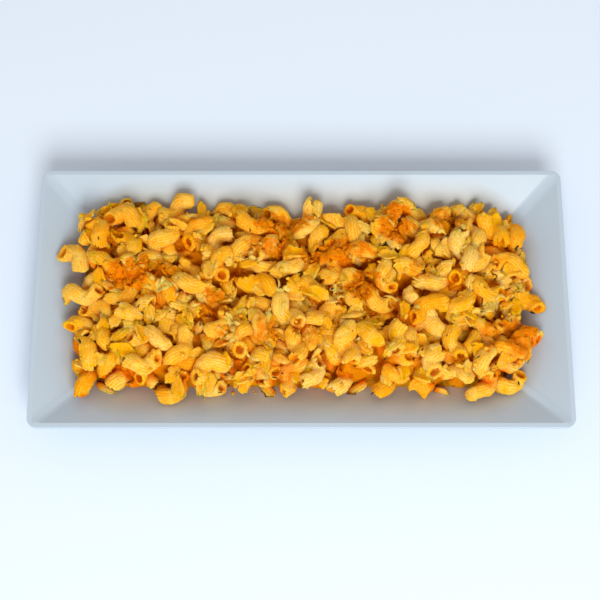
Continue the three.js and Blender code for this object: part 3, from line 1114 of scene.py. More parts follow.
@dataclass
class Macaroni:
    """The ridged corkscrews, as thick hollow tubes with cut, slanted or torn ends."""

    pile: Pile
    top: HeapTop
    ridges: int = 16
    # One ridge's points round the tube: its crest, and two in the groove beside it
    ridge: tuple[float, ...] = (1.0, -0.5, -0.5)
    ridge_rise: float = 0.18
    body_rings: int = 20
    samples: int = 48
    # Any direction that no corkscrew starts along
    aside: tuple[float, float, float] = (0.3, 0.2, 0.93)
    bore_radius: float = 2.4
    bore_depth: float = 7.0
    bore_shade: float = 0.55
    bore_pinch: float = 1.6
    bore_flattening: float = 1.5
    lip_round: float = 0.35
    twist: float = 1.1
    swelling: tuple[float, float] = (0.98, 1.16)
    flattening: tuple[float, float] = (0.02, 0.16)
    pinch: tuple[float, float] = (-0.05, 0.11)
    # Sauce fills the grooves in places, and its coat is paler than what it leaves bare
    coated: tuple[float, float] = (-0.9, 1.0)
    filled_grooves: float = 0.7
    coat_paleness: float = 0.35
    lump_height: float = 0.32
    grain_height: float = 0.13
    crust_height: float = 0.5
    torn_share: float = 0.2
    end_waves: int = 3
    end_wave_height: float = 0.5
    past_end: float = 0.1
    buried: float = 3.0
    sight_points: int = 12
    seed: int = 40

    def __post_init__(self) -> None:
        """Prepares the patterns that the corkscrews share."""
        self.lumps = Ripples(seed=21, scale=7)
        self.grains = Ripples(seed=22, scale=2.1)
        self.coating = Ripples(seed=23, scale=9)
        self.crust = Ripples(seed=24, scale=2.9)

    def frames(self, middle: np.ndarray) -> tuple[np.ndarray, np.ndarray]:
        """Finds the directions of a tube's cross-sections, without twist.

        Args:
            middle: Points along the tube's middle line.

        Returns:
            Two directions across the tube, one row for each point.
        """
        tangent = np.gradient(middle, axis=0)
        tangent /= np.linalg.norm(tangent, axis=1, keepdims=True)
        first = np.cross(tangent[0], self.aside)
        across = [first / np.linalg.norm(first)]
        for direction in tangent[1:]:
            turned = across[-1] - direction * np.dot(across[-1], direction)
            across.append(turned / np.linalg.norm(turned))
        side = np.array(across)
        return side, np.cross(tangent, side)

    def end_cut(self, draws: np.random.Generator, angle: np.ndarray) -> np.ndarray:
        """Draws how far each side of a tube falls short at one end.

        Args:
            draws: Random draws.
            angle: Each side's angle round the tube.

        Returns:
            The shortfalls.
        """
        end = TORN_END if draws.random() < self.torn_share else CUT_END
        slant = draws.uniform(*end.slant)
        fray = draws.uniform(*end.fray)
        ragged = draws.normal(0, fray, len(angle))
        ragged = (ragged + np.roll(ragged, 1)) / 2
        start = draws.uniform(*WAVE_START)
        ragged += self.end_wave_height * fray * np.sin(self.end_waves * angle + start)
        return slant * (1 + np.cos(angle - draws.uniform(0, FULL_TURN))) + ragged

    def sections(self, length: float) -> np.ndarray:
        """Lists the rings of one tube, from the bottom of one bore to that of the other.

        Args:
            length: The tube's length.

        Returns:
            A row for each ring: the end that it is measured from, its distance from that end, how
            far it lies from the outer skin to the bore, and how much of the ridges it shows.
        """
        lip = self.lip_round
        inner = [
            (self.bore_depth, 1.0, 0.0),
            (self.bore_depth / 3, 1.0, 0.0),
            (lip, 1.0, 0.1),
            (0, 0.8, 0.2),
            (0, 0.3, 0.5),
            (lip, 0.0, 0.9),
        ]
        half = self.body_rings // 2
        outer = [
            (2 * lip + (length / 2 - 2 * lip) / half * i, 0.0, 1.0) for i in range(half + 1)
        ]
        first = [(0, *ring) for ring in inner + outer[:-1]]
        second = [(1, *ring) for ring in inner + outer]
        return np.array(first + second[::-1])

    def add_to(self, skin: Skin, noodle: Corkscrew, draws: np.random.Generator) -> None:
        """Models one corkscrew and adds it to a skin.

        Args:
            skin: The skin that it joins.
            noodle: Its place, turn and twist.
            draws: Random draws for its unevenness.
        """
        crest = np.tile(self.ridge, self.ridges)
        sides = len(crest)
        angle = np.arange(sides) / sides * FULL_TURN
        middle = noodle.points(np.linspace(0, 1, self.samples))
        across, upward = self.frames(middle)
        length = np.linalg.norm(np.diff(middle, axis=0), axis=1).sum()
        end, distance, inset, ridge = self.sections(length).T[..., None]

        # How far along the tube each point lies: its ends fall short by their cuts
        cuts = [self.end_cut(draws, angle) for _ in range(2)]
        fade = np.clip(1 - distance / (length / 2), 0, 1)
        along = (distance + np.where(end == 0, *cuts) * fade) / length
        along = np.clip(along, -self.past_end, 0.5)
        share = np.where(end == 0, along, 1 - along)

        # How far from its middle line: the tube is uneven, a little flat and pinched at its ends
        twist = draws.uniform(-self.twist, self.twist)
        radius = self.pile.sizes.tube_radius * draws.uniform(*self.swelling)
        oval = draws.uniform(*self.flattening)
        lean = draws.uniform(0, FULL_TURN)
        pinches = draws.uniform(*self.pinch, 2)
        turn = angle + twist * share
        spine = self.between_rows(middle, share)
        spoke = (
            self.between_rows(across, share) * np.cos(turn)[..., None]
            + self.between_rows(upward, share) * np.sin(turn)[..., None]
        )
        ends = np.where(share < 0.5, *pinches) * np.abs(2 * share - 1) ** 3
        squash = oval * np.cos(2 * (turn - lean))
        coat = smooth_step(*self.coated, self.coating.at(spine.reshape(-1, 3)))
        coat = coat.reshape(share.shape)
        show = ridge * (1 - self.filled_grooves * coat)
        outer = radius * (1 - ends) * (1 + squash) + self.ridge_rise * show * crest
        bore = self.bore_radius * (1 - self.bore_pinch * ends) * (1 + self.bore_flattening * squash)
        width = outer * (1 - inset) + bore * inset

        # Lumps of sauce, a fine grain, and a crust where the grill caught it
        points = (spine + spoke * width[..., None]).reshape(-1, 3)
        rough = (
            self.lump_height * self.lumps.at(points)
            + self.grain_height * self.grains.at(points)
            + self.crust_height * self.crust.at(points) * self.top.over(self.top.brown, points)
        )
        points = self.top.on_the_dish(points + spoke.reshape(-1, 3) * rough[:, None])
        points = with_ends(points, len(end))
        high = np.clip(show * (crest > 0) + self.coat_paleness * coat * ridge, 0, 1).ravel()
        looks = self.top.looks(points, draws.random(), np.append(high, (0, 0)))
        in_bore = (inset[:, 0] == 1) & (distance[:, 0] > self.lip_round)
        in_bore = np.append(np.repeat(in_bore, sides), (True, True))
        looks[:, 2] = np.maximum(looks[:, 2], self.bore_shade * in_bore)
        skin.add_tube(points, looks, len(end))

    def between_rows(self, rows: np.ndarray, share: np.ndarray) -> np.ndarray:
        """Reads rows spread evenly from 0 to 1, also just beyond the ends.

        Args:
            rows: The rows.
            share: Where to read, for each ring and side.

        Returns:
            One row for each ring and side.
        """
        place = share * (len(rows) - 1)
        low = np.clip(np.floor(place).astype(int), 0, len(rows) - 2)
        part = (place - low)[..., None]
        return rows[low] * (1 - part) + rows[low + 1] * part

    def shows(self, noodle: Corkscrew) -> bool:
        """Finds whether any of a corkscrew comes near the top of the heap.

        Args:
            noodle: The corkscrew.

        Returns:
            Whether it can be seen.
        """
        points = noodle.points(np.linspace(0, 1, self.sight_points))
        crown = points[:, 2] + self.pile.sizes.tube_radius
        return bool((crown > self.top.over(self.top.height, points) - self.buried).any())

    def build(self) -> dict[MacaroniKind, Skin]:
        """Models every corkscrew that can be seen.

        Returns:
            One skin for each kind.
        """
        skins = {kind: Skin() for kind in MacaroniKind}
        kinds = list(MacaroniKind)
        draws = np.random.default_rng(self.seed)
        seen = [noodle for noodle in self.pile.noodles if self.shows(noodle)]
        log.info("%d of %d corkscrews can be seen", len(seen), len(self.pile.noodles))
        for number, noodle in enumerate(seen):
            self.add_to(skins[kinds[number % len(kinds)]], noodle, draws)
        return skins


@dataclass
class CheeseBlanket:
    """Melted cheese and sauce that fill the heap under and between the corkscrews."""

    top: HeapTop
    surfaces: Surfaces
    columns: int = 300
    rows: int = 136
    softening: int = 7
    sag: float = 6.8
    lump_height: float = 0.8
    bubble_height: float = 0.3
    swell_height: float = 0.7
    # Browned cheese lies over the corkscrews as a thicker film, with lumps and bubbles of its own
    film: float = 5.5
    film_lumps: float = 0.5
    film_bubbles: float = 0.35
    filmed: tuple[float, float] = (0.3, 0.7)
    edge_inset: float = 9.5
    edge_fade: float = 7.0
    edge_wander: float = 2.4
    edge_dip: float = 0.6
    least_film: float = 0.2
    floor_gap: float = 0.25
    tone: float = 0.1
    ridge: float = 0.3
    most_shade: float = 0.7
    shaded_depth: tuple[float, float] = (0.5, 8)

    def heights(self) -> np.ndarray:
        """Works out the blanket's height on the heap's fine grid.

        Returns:
            The grid of heights.
        """
        top = self.top
        lumps = top.ripples(seed=31, scale=4.5)
        bubbles = top.ripples(seed=32, scale=1.8)
        slack = (
            blurred(top.height, self.softening)
            - self.sag
            + self.lump_height * lumps
            + self.bubble_height * bubbles
            + self.swell_height * top.ripples(seed=33, scale=14)
        )
        film = self.film + self.film_lumps * lumps + self.film_bubbles * bubbles
        return slack + smooth_step(*self.filmed, top.brown) * film

    def upper(self) -> np.ndarray:
        """Lays the blanket's upper side over the heap, down to a wandering edge on the dish.

        Returns:
            Its points, row by row.
        """
        inner_x, inner_y = self.surfaces.inner_half
        reach = self.surfaces.outline_reach - self.edge_inset
        y = np.linspace(-1, 1, self.rows) * (inner_y + reach)
        round_part = np.maximum(np.abs(y) - inner_y, 0)
        half_length = inner_x + np.sqrt(np.maximum(reach**2 - round_part**2, 0))
        flat_x = np.outer(half_length, np.linspace(-1, 1, self.columns)).ravel()
        level = np.column_stack((flat_x, np.repeat(y, self.columns), np.zeros(flat_x.size)))
        on_dish = self.top.over(self.top.dish, level) + self.floor_gap
        wanted = self.top.over(self.heights(), level)
        dx, dy = np.abs(level[:, 0]) - inner_x, np.abs(level[:, 1]) - inner_y
        beyond = np.where((dx > 0) & (dy > 0), np.hypot(dx, dy), np.maximum(dx, dy))
        wander = self.edge_wander * (1 + Ripples(seed=34, scale=12).at(level))
        edge = smooth_step(0, self.edge_fade, reach - beyond - wander)
        film = np.maximum(wanted - on_dish, self.least_film) + self.edge_dip
        level[:, 2] = on_dish - self.edge_dip + film * edge
        return level

    def build(self) -> Skin:
        """Models the blanket as a closed mass that fills the dish under the heap.

        Returns:
            Its skin.
        """
        upper = self.upper()
        number = np.arange(len(upper)).reshape(self.rows, self.columns)
        quads = np.stack(
            (number[:-1, :-1], number[:-1, 1:], number[1:, 1:], number[1:, :-1]), axis=-1
        )
        border = np.concatenate(
            (number[0, :-1], number[:-1, -1], number[-1, :0:-1], number[:0:-1, 0])
        )
        # The sides go down to a floor just over the dish's own, closed round its middle
        half = np.array(self.surfaces.inner_half)
        bottom = self.surfaces.dish.floor_top + self.floor_gap
        floor = np.clip(upper[border, :2], -half, half)
        floor = np.column_stack((floor, np.full(len(border), bottom)))
        ring = len(upper) + np.arange(len(border))
        after = np.roll(ring, -1)
        walls = np.column_stack((np.roll(border, -1), border, ring, after))
        under = np.column_stack((after, ring, np.full(len(ring), ring[-1] + 1)))
        points = np.concatenate((upper, floor, [[0, 0, bottom]]))
        depth = self.top.over(self.top.soft, points) - points[:, 2]
        shade = self.most_shade * smooth_step(*self.shaded_depth, depth)
        looks = look_rows(self.tone, self.top.over(self.top.brown, points), shade, self.ridge)
        skin = Skin()
        skin.add(points, looks, quads.reshape(-1, 4), walls, under)
        return skin


@dataclass
class Scattered:
    """Small things at random places on the heap."""

    top: HeapTop
    surfaces: Surfaces
    spread: tuple[float, float] = (134.0, 62.0)
    edge_inset: float = 5.0

    def anywhere(self, draws: np.random.Generator) -> tuple[float, float]:
        """Draws a place within the spread, which may lie beside the heap."""
        reach_x, reach_y = self.spread
        return draws.uniform(-reach_x, reach_x), draws.uniform(-reach_y, reach_y)

    def on_heap(self, x: float, y: float) -> bool:
        """Returns whether a place is far enough inside the heap's outline."""
        return self.surfaces.inside(x, y) > self.edge_inset


@dataclass
class TornPasta(Scattered):
    """Torn pieces of tube wall, lodged in the heap's gaps and strewn on its top."""

    lodged: int = 220
    strewn: int = 40
    edge_inset: float = 6.0
    gap: tuple[float, float] = (2.2, 9.0)
    above_gap: float = 1.2
    below_crest: float = 5.5
    lodged_play: tuple[float, float] = (-1, 1.5)
    strewn_play: tuple[float, float] = (0.1, 0.8)
    softening: int = 5
    length: tuple[float, float] = (6.0, 14.0)
    radius: tuple[float, float] = (3.4, 4.6)
    wall: tuple[float, float] = (1.3, 1.9)
    arc: tuple[float, float] = (1.3, 2.9)
    rings: int = 10
    across: int = 8
    roll: float = 0.6
    pitch: float = 0.2
    turned_over: float = 0.35
    narrowing: tuple[float, float] = (0.25, 1.15)
    ragged: float = 0.1
    twist: float = 0.5
    thinning: float = 0.45
    ridge: float = 0.17
    torn_end: float = 0.9
    bend: float = 0.5
    roughness: float = 0.08
    tone: tuple[float, float] = (0.1, 1)
    ridge_paleness: float = 0.7
    seed: int = 91

    def build(self) -> Skin:
        """Models the torn pieces.

        Returns:
            Their skin.
        """
        draws = np.random.default_rng(self.seed)
        skin = Skin()
        lie = blurred(self.top.height, self.softening)
        placed = 0
        while placed < self.lodged + self.strewn:
            x, y = self.anywhere(draws)
            if not self.on_heap(x, y):
                continue
            here, crest = (self.top.sample(grid, x, y) for grid in (self.top.height, self.top.soft))
            if placed >= self.lodged:
                z = max(here, self.top.sample(lie, x, y)) + draws.uniform(*self.strewn_play)
            elif self.gap[0] < crest - here < self.gap[1]:
                z = max(here + self.above_gap, crest - self.below_crest)
                z += draws.uniform(*self.lodged_play)
            else:
                continue
            placed += 1
            self.add_piece(skin, np.array((x, y, z)), draws)
        return skin

    def add_piece(self, skin: Skin, middle: np.ndarray, draws: np.random.Generator) -> None:
        """Adds one torn piece of wall, its edges ragged all round.

        Args:
            skin: The skin that it joins.
            middle: The place of its middle.
            draws: Random draws for its shape.
        """
        # How it lies
        yaw, roll = draws.uniform(0, FULL_TURN), draws.normal(0, self.roll)
        pitch = draws.normal(0, self.pitch)
        if draws.random() < self.turned_over:
            roll += math.pi
        forward = np.array(
            (math.cos(yaw) * math.cos(pitch), math.sin(yaw) * math.cos(pitch), math.sin(pitch))
        )
        level = np.array((-math.sin(yaw), math.cos(yaw), 0.0))
        left = level * math.cos(roll) + np.cross(forward, level) * math.sin(roll)
        up = np.cross(forward, left)

        # Its section: an arc of the tube's ridged wall, thinner and ragged at its two edges
        length = draws.uniform(*self.length)
        radius, wall = draws.uniform(*self.radius), draws.uniform(*self.wall)
        share = np.linspace(-0.5, 0.5, self.rings)[:, None]
        least, most = self.narrowing
        taper = np.clip(most - np.abs(2 * share) ** 3, least, 1)
        half_arc = draws.uniform(*self.arc) / 2 * taper
        reach = np.linspace(1, -1, self.across)
        ragged = 1 + draws.normal(0, self.ragged, (self.rings, 2))
        edge = np.where(reach > 0, ragged[:, :1], ragged[:, 1:])
        angle = half_arc * reach * (1 + (edge - 1) * np.abs(reach)) + self.twist * share
        ridge = np.where(np.arange(self.across) % 2 == 0, self.ridge, -self.ridge)
        outer = radius + ridge + 0 * share
        inner = radius - wall * (1 - self.thinning * np.abs(reach) ** 3) + 0 * share

        # The section is drawn out along the piece, with torn ends and a slight bend
        ends = np.abs(2 * share) ** 4 * draws.normal(0, self.torn_end, self.across)
        angles = np.concatenate((angle, angle[:, ::-1]), axis=1)
        radii = np.concatenate((outer, inner[:, ::-1]), axis=1)
        along = share * length + np.concatenate((ends, ends[:, ::-1]), axis=1)
        rise = radii * np.cos(angles) - radius + draws.normal(0, self.bend) * (2 * share) ** 2
        points = (
            middle
            + forward * along[..., None]
            + left * (radii * np.sin(angles))[..., None]
            + up * rise[..., None]
        ).reshape(-1, 3)
        points = self.top.on_the_dish(points + draws.normal(0, self.roughness, points.shape))
        points = with_ends(points, self.rings)
        high = np.append(ridge > 0, np.zeros(self.across))
        high = self.ridge_paleness * np.append(np.tile(high, self.rings), (0, 0))
        looks = self.top.looks(points, draws.uniform(*self.tone), high)
        skin.add_tube(points, looks, self.rings)


@dataclass
class CheeseShreds(Scattered):
    """Frayed strips of pale cheese and torn pasta, draped over the heap in tufts."""

    tufts: tuple[Patch, ...] = PALE_TUFTS
    tuft_spread: float = 0.5
    loose: int = 24
    spread: tuple[float, float] = (130.0, 58.0)
    edge_inset: float = 8.0
    softening: int = 3
    length: tuple[float, float] = (5.0, 12.0)
    width: tuple[float, float] = (2.2, 4.6)
    thickness: float = 1.1
    least_taper: float = 0.04
    steps: int = 12
    sides: int = 7
    bend: float = 0.7
    lift: float = 0.2
    wave_height: float = 0.6
    wave: tuple[float, float] = (3, 8)
    roll: float = 0.5
    twist: float = 0.8
    neck: float = 0.3
    neck_wave: float = 9
    roughness: float = 0.1
    tone: tuple[float, float] = (0.5, 1.0)
    browning: float = 0.5
    paleness: float = 0.8
    seed: int = 51

    def build(self) -> Skin:
        """Models the strips.

        Returns:
            Their skin.
        """
        draws = np.random.default_rng(self.seed)
        skin = Skin()
        lie = blurred(self.top.height, self.softening)
        for tuft in self.tufts:
            for _ in range(int(tuft.strength)):
                self.add_strip(skin, lie, tuft.somewhere(draws, self.tuft_spread), draws)
        placed = 0
        while placed < self.loose:
            place = self.anywhere(draws)
            if self.on_heap(*place):
                self.add_strip(skin, lie, place, draws)
                placed += 1
        return skin

    def add_strip(
        self, skin: Skin, lie: np.ndarray, place: tuple[float, float], draws: np.random.Generator
    ) -> None:
        """Adds one strip, which follows the heap under it.

        Args:
            skin: The skin that it joins.
            lie: The grid of heights that it lies on.
            place: The place of its middle along the dish and across it.
            draws: Random draws for its shape.
        """
        # Its course over the heap
        length = draws.uniform(*self.length)
        heading = draws.uniform(0, FULL_TURN)
        share = np.linspace(-0.5, 0.5, self.steps)
        course = heading + draws.normal(0, self.bend) * share * 2
        step = length / (self.steps - 1)
        px = place[0] + np.cumsum(np.cos(course)) * step - np.cos(heading) * length / 2
        py = place[1] + np.cumsum(np.sin(course)) * step - np.sin(heading) * length / 2
        pz = self.top.sample(lie, px, py) + self.lift
        wave = share * draws.uniform(*self.wave) + draws.uniform(*WAVE_START)
        pz += self.wave_height * np.cos(wave)
        spine = np.column_stack((px, py, pz))
        tangent = np.gradient(spine, axis=0)
        tangent /= np.linalg.norm(tangent, axis=1, keepdims=True)
        side = np.cross((0.0, 0.0, 1.0), tangent)
        side /= np.linalg.norm(side, axis=1, keepdims=True)
        above = np.cross(tangent, side)

        # Its flat section, which rolls, narrows and thins out at both ends
        roll = (draws.normal(0, self.roll) + draws.normal(0, self.twist) * share)[:, None]
        angle = np.arange(self.sides) / self.sides * FULL_TURN
        taper = np.sqrt(np.clip(1 - (2 * share) ** 4, self.least_taper, 1))
        neck = 1 + self.neck * np.sin(self.neck_wave * share + roll[0])
        half = draws.uniform(*self.width) / 2 * taper * neck
        flat = np.outer(half, np.cos(angle))
        tall = np.outer(self.thickness / 2 * taper, np.sin(angle))
        turned = (flat * np.cos(roll) - tall * np.sin(roll))[..., None]
        raised = (flat * np.sin(roll) + tall * np.cos(roll))[..., None]
        ring = spine[:, None] + side[:, None] * turned + above[:, None] * raised
        points = ring.reshape(-1, 3)
        points = self.top.on_the_dish(points + draws.normal(0, self.roughness, points.shape))
        points = np.concatenate((points, ring[[0, -1]].mean(axis=1)))
        brown = self.browning * self.top.over(self.top.brown, points)
        looks = look_rows(draws.uniform(*self.tone), brown, 0.0, self.paleness)
        skin.add_tube(points, looks, self.steps)


@dataclass
class Crumbs(Scattered):
    """Curds of cheese and crumbs of pasta, from rice grains to small beans in size."""

    count: int = 520
    browned_share: float = 0.45
    patch_spread: float = 0.6
    radius: tuple[float, float] = (0.45, 1.5)
    stretch: tuple[float, float] = (0.6, 1.5)
    dent: tuple[float, float] = (0.8, 1.2)
    raised: float = 0.2
    rings: int = 6
    sides: int = 8
    last_ring: float = 0.8
    tone: tuple[float, float] = (0.2, 1)
    paleness: float = 0.5
    seed: int = 63

    def build(self) -> Skin:
        """Models the crumbs.

        Returns:
            Their skin.
        """
        draws = np.random.default_rng(self.seed)
        skin = Skin()
        placed = 0
        while placed < self.count:
            place = self.anywhere(draws)
            if placed < self.count * self.browned_share:
                patch = BROWNED_PATCHES[draws.integers(len(BROWNED_PATCHES))]
                place = patch.somewhere(draws, self.patch_spread)
            if self.on_heap(*place):
                self.add_crumb(skin, *place, draws)
                placed += 1
        return skin

    def add_crumb(self, skin: Skin, x: float, y: float, draws: np.random.Generator) -> None:
        """Adds one crumb, half sunk in what it lies on.

        Args:
            skin: The skin that it joins.
            x: Its place along the dish.
            y: Its place across the dish.
            draws: Random draws for its shape.
        """
        radius = between(self.radius, draws.random() ** 2)
        rise = np.linspace(-1, 1, self.rings) * math.pi / 2 * self.last_ring
        angle = np.arange(self.sides) / self.sides * FULL_TURN
        ball = np.column_stack(
            (
                np.outer(np.cos(rise), np.cos(angle)).ravel(),
                np.outer(np.cos(rise), np.sin(angle)).ravel(),
                np.repeat(np.sin(rise), self.sides),
            )
        )
        ball = np.concatenate((ball, [[0, 0, -1], [0, 0, 1]]))
        ball = ball * radius * draws.uniform(*self.stretch, 3)
        ball *= draws.uniform(*self.dent, (len(ball), 1))
        turn = draws.uniform(0, FULL_TURN)
        height = self.top.sample(self.top.height, x, y) + self.raised * radius
        points = np.column_stack(
            (
                x + ball[:, 0] * math.cos(turn) - ball[:, 1] * math.sin(turn),
                y + ball[:, 0] * math.sin(turn) + ball[:, 1] * math.cos(turn),
                height + ball[:, 2],
            )
        )
        points = self.top.on_the_dish(points)
        brown = self.top.over(self.top.brown, points)
        looks = look_rows(draws.uniform(*self.tone), brown, 0.0, self.paleness)
        skin.add_tube(points, looks, self.rings)


@dataclass
class HerbFlecks(Scattered):
    """Small dry flakes of herb and pepper that lie on the heap."""

    count: int = 160
    spread: tuple[float, float] = (132.0, 58.0)
    least_cover: float = 4.0
    steepest: float = 1.2
    length: tuple[float, float] = (1.3, 4.0)
    # Flakes up to this length are broad, and longer ones are slim
    broad_length: float = 1.6
    broad_width: tuple[float, float] = (0.3, 0.75)
    slim_width: tuple[float, float] = (0.18, 0.4)
    thickness: float = 0.12
    top_crown: float = 0.1
    under_crown: float = 0.16
    sides: int = 7
    outline: tuple[float, float] = (0.7, 1.15)
    curl: float = 0.25
    seed: int = 77

    def build(self) -> Skin:
        """Models the flecks.

        Returns:
            Their skin.
        """
        draws = np.random.default_rng(self.seed)
        skin = Skin()
        placed = 0
        while placed < self.count:
            x, y = self.anywhere(draws)
            cover = self.top.sample(self.top.height, x, y) - self.surfaces.on_dish(x, y)
            if cover >= self.least_cover:
                placed += 1
                self.add_fleck(skin, x, y, draws)
        return skin

    def add_fleck(self, skin: Skin, x: float, y: float, draws: np.random.Generator) -> None:
        """Adds one flake, laid along the surface under it.

        Args:
            skin: The skin that it joins.
            x: Its place along the dish.
            y: Its place across the dish.
            draws: Random draws for its shape.
        """
        near = np.array(((x, y), (x + 1, y), (x, y + 1)))
        here, right, back = self.top.over(self.top.height, near)
        along = np.array((1, 0, np.clip(right - here, -self.steepest, self.steepest)))
        across = np.array((0, 1, np.clip(back - here, -self.steepest, self.steepest)))
        normal = np.cross(along, across)
        normal /= np.linalg.norm(normal)
        turn = draws.uniform(0, FULL_TURN)
        forward = along * math.cos(turn) + across * math.sin(turn)
        forward /= np.linalg.norm(forward)
        sideways = np.cross(normal, forward)
        length = draws.uniform(*self.length)
        width = length * draws.uniform(*self.broad_width)
        if length > self.broad_length:
            width = length * draws.uniform(*self.slim_width)
        middle = np.array((x, y, here + self.thickness))
        angle = np.arange(self.sides) / self.sides * FULL_TURN
        edge = draws.uniform(*self.outline, self.sides)
        curl = draws.uniform(-self.curl, self.curl)
        rim = (
            middle
            + np.outer(np.cos(angle) * edge * length / 2, forward)
            + np.outer(np.sin(angle) * edge * width / 2, sideways)
            + np.outer(curl * np.cos(angle) ** 2 * length / 2, normal)
        )
        under = middle - normal * self.under_crown
        over = middle + normal * self.top_crown
        points = np.concatenate((rim - normal * self.thickness, rim, [under, over]))
        looks = np.tile((draws.random(), 0, 0, 0), (len(points), 1))
        skin.add_tube(points, looks, rings=2)


# The dish


@dataclass
class PorcelainDish:
    """The dish, modelled from a block: its rim band, its hollow and its foot ring."""

    sizes: DishSizes
    corner_segments: int = 8
    edge_round: float = 0.9
    edge_segments: int = 3
    edge_angle_degrees: float = 22
    near: float = 0.01

    def select_level(self, mesh: bpy.types.Mesh, height: float) -> None:
        """Selects the level faces at a height, and nothing else.

        Args:
            mesh: The mesh in edit mode.
            height: The height.
        """
        bpy.ops.mesh.select_mode(type="FACE")
        bpy.ops.mesh.select_all(action="DESELECT")
        shape = bmesh.from_edit_mesh(mesh)
        for face in shape.faces:
            face.select_set(all(abs(v.co.z - height * MM) < self.near * MM for v in face.verts))
        bmesh.update_edit_mesh(mesh)

    def extrude_down(
        self, drop: float, before: tuple[float, float], after: tuple[float, float]
    ) -> None:
        """Extrudes what is selected downwards and resizes its end about the dish's middle.

        Args:
            drop: How far down.
            before: Half the length and width that it has.
            after: Half the length and width that its end gets.
        """
        bpy.ops.mesh.extrude_region_move(TRANSFORM_OT_translate={"value": (0, 0, -drop * MM)})
        ratio = (after[0] / before[0], after[1] / before[1], 1)
        bpy.ops.transform.resize(value=ratio, center_override=(0, 0, 0))

    def build(self, material: bpy.types.Material) -> bpy.types.Object:
        """Models the dish.

        Args:
            material: Its glaze.

        Returns:
            The finished piece.
        """
        sizes = self.sizes
        rim = (sizes.length / 2, sizes.width / 2)
        ring = tuple(half - sizes.foot_in for half in sizes.floor_half)
        flare = tuple(half + sizes.flare_out for half in ring)
        band_low = (
            sizes.floor_top + (sizes.lip + sizes.wall_run) * sizes.wall_slope - sizes.wall_depth
        )
        band = sizes.height - band_low
        bpy.ops.object.select_all(action="DESELECT")
        bpy.ops.mesh.primitive_cube_add(size=1, location=(0, 0, (band_low + band / 2) * MM))
        dish = bpy.context.object
        dish.name = dish.data.name = "porcelain_dish"
        dish.scale = (sizes.length * MM, sizes.width * MM, band * MM)
        bpy.ops.object.transform_apply(location=True, rotation=True, scale=True)
        mesh = dish.data
        bpy.ops.object.mode_set(mode="EDIT")
        # The outer walls, the foot ring and its recess
        self.select_level(mesh, band_low)
        self.extrude_down(band_low - sizes.flare_up, rim, flare)
        self.extrude_down(sizes.flare_up, flare, ring)
        bpy.ops.mesh.inset(thickness=sizes.foot_width * MM, use_even_offset=True)
        bpy.ops.mesh.inset(thickness=sizes.foot_slope * MM, use_even_offset=True)
        bpy.ops.transform.translate(value=(0, 0, sizes.foot_recess * MM))
        # The lip, the inner walls and the floor
        self.select_level(mesh, sizes.height)
        bpy.ops.mesh.inset(thickness=sizes.lip * MM, use_even_offset=True)
        bpy.ops.mesh.inset(thickness=sizes.wall_run * MM, use_even_offset=True)
        bpy.ops.transform.translate(value=(0, 0, (sizes.floor_top - sizes.height) * MM))
        self.round_corners(mesh)
        bpy.ops.object.mode_set(mode="OBJECT")
        self.soften_edges(dish)
        mesh.materials.append(material)
        return dish

    def round_corners(self, mesh: bpy.types.Mesh) -> None:
        """Rounds the four corners all the way round the dish's section.

        Args:
            mesh: The dish's mesh, in edit mode.
        """
        bpy.ops.mesh.select_mode(type="EDGE")
        bpy.ops.mesh.select_all(action="DESELECT")
        shape = bmesh.from_edit_mesh(mesh)
        for edge in shape.edges:
            first, second = (v.co for v in edge.verts)
            same_corner = first.x * second.x > 0 and first.y * second.y > 0
            edge.select_set(same_corner)
        bmesh.update_edit_mesh(mesh)
        bpy.ops.mesh.bevel(
            offset=self.sizes.rim_corner * MM,
            offset_type="OFFSET",
            segments=self.corner_segments,
            affect="EDGES",
            clamp_overlap=True,
        )

    def soften_edges(self, dish: bpy.types.Object) -> None:
        """Rounds every remaining hard edge and shades the dish evenly.

        Args:
            dish: The dish.
        """
        rounding = dish.modifiers.new("edge_rounding", "BEVEL")
        rounding.width = self.edge_round * MM
        rounding.segments = self.edge_segments
        rounding.limit_method = "ANGLE"
        rounding.angle_limit = math.radians(self.edge_angle_degrees)
        bpy.ops.object.modifier_apply(modifier=rounding.name)
        bpy.ops.object.shade_smooth()
        evening = dish.modifiers.new("even_shading", "WEIGHTED_NORMAL")
        bpy.ops.object.modifier_apply(modifier=evening.name)


# The setting


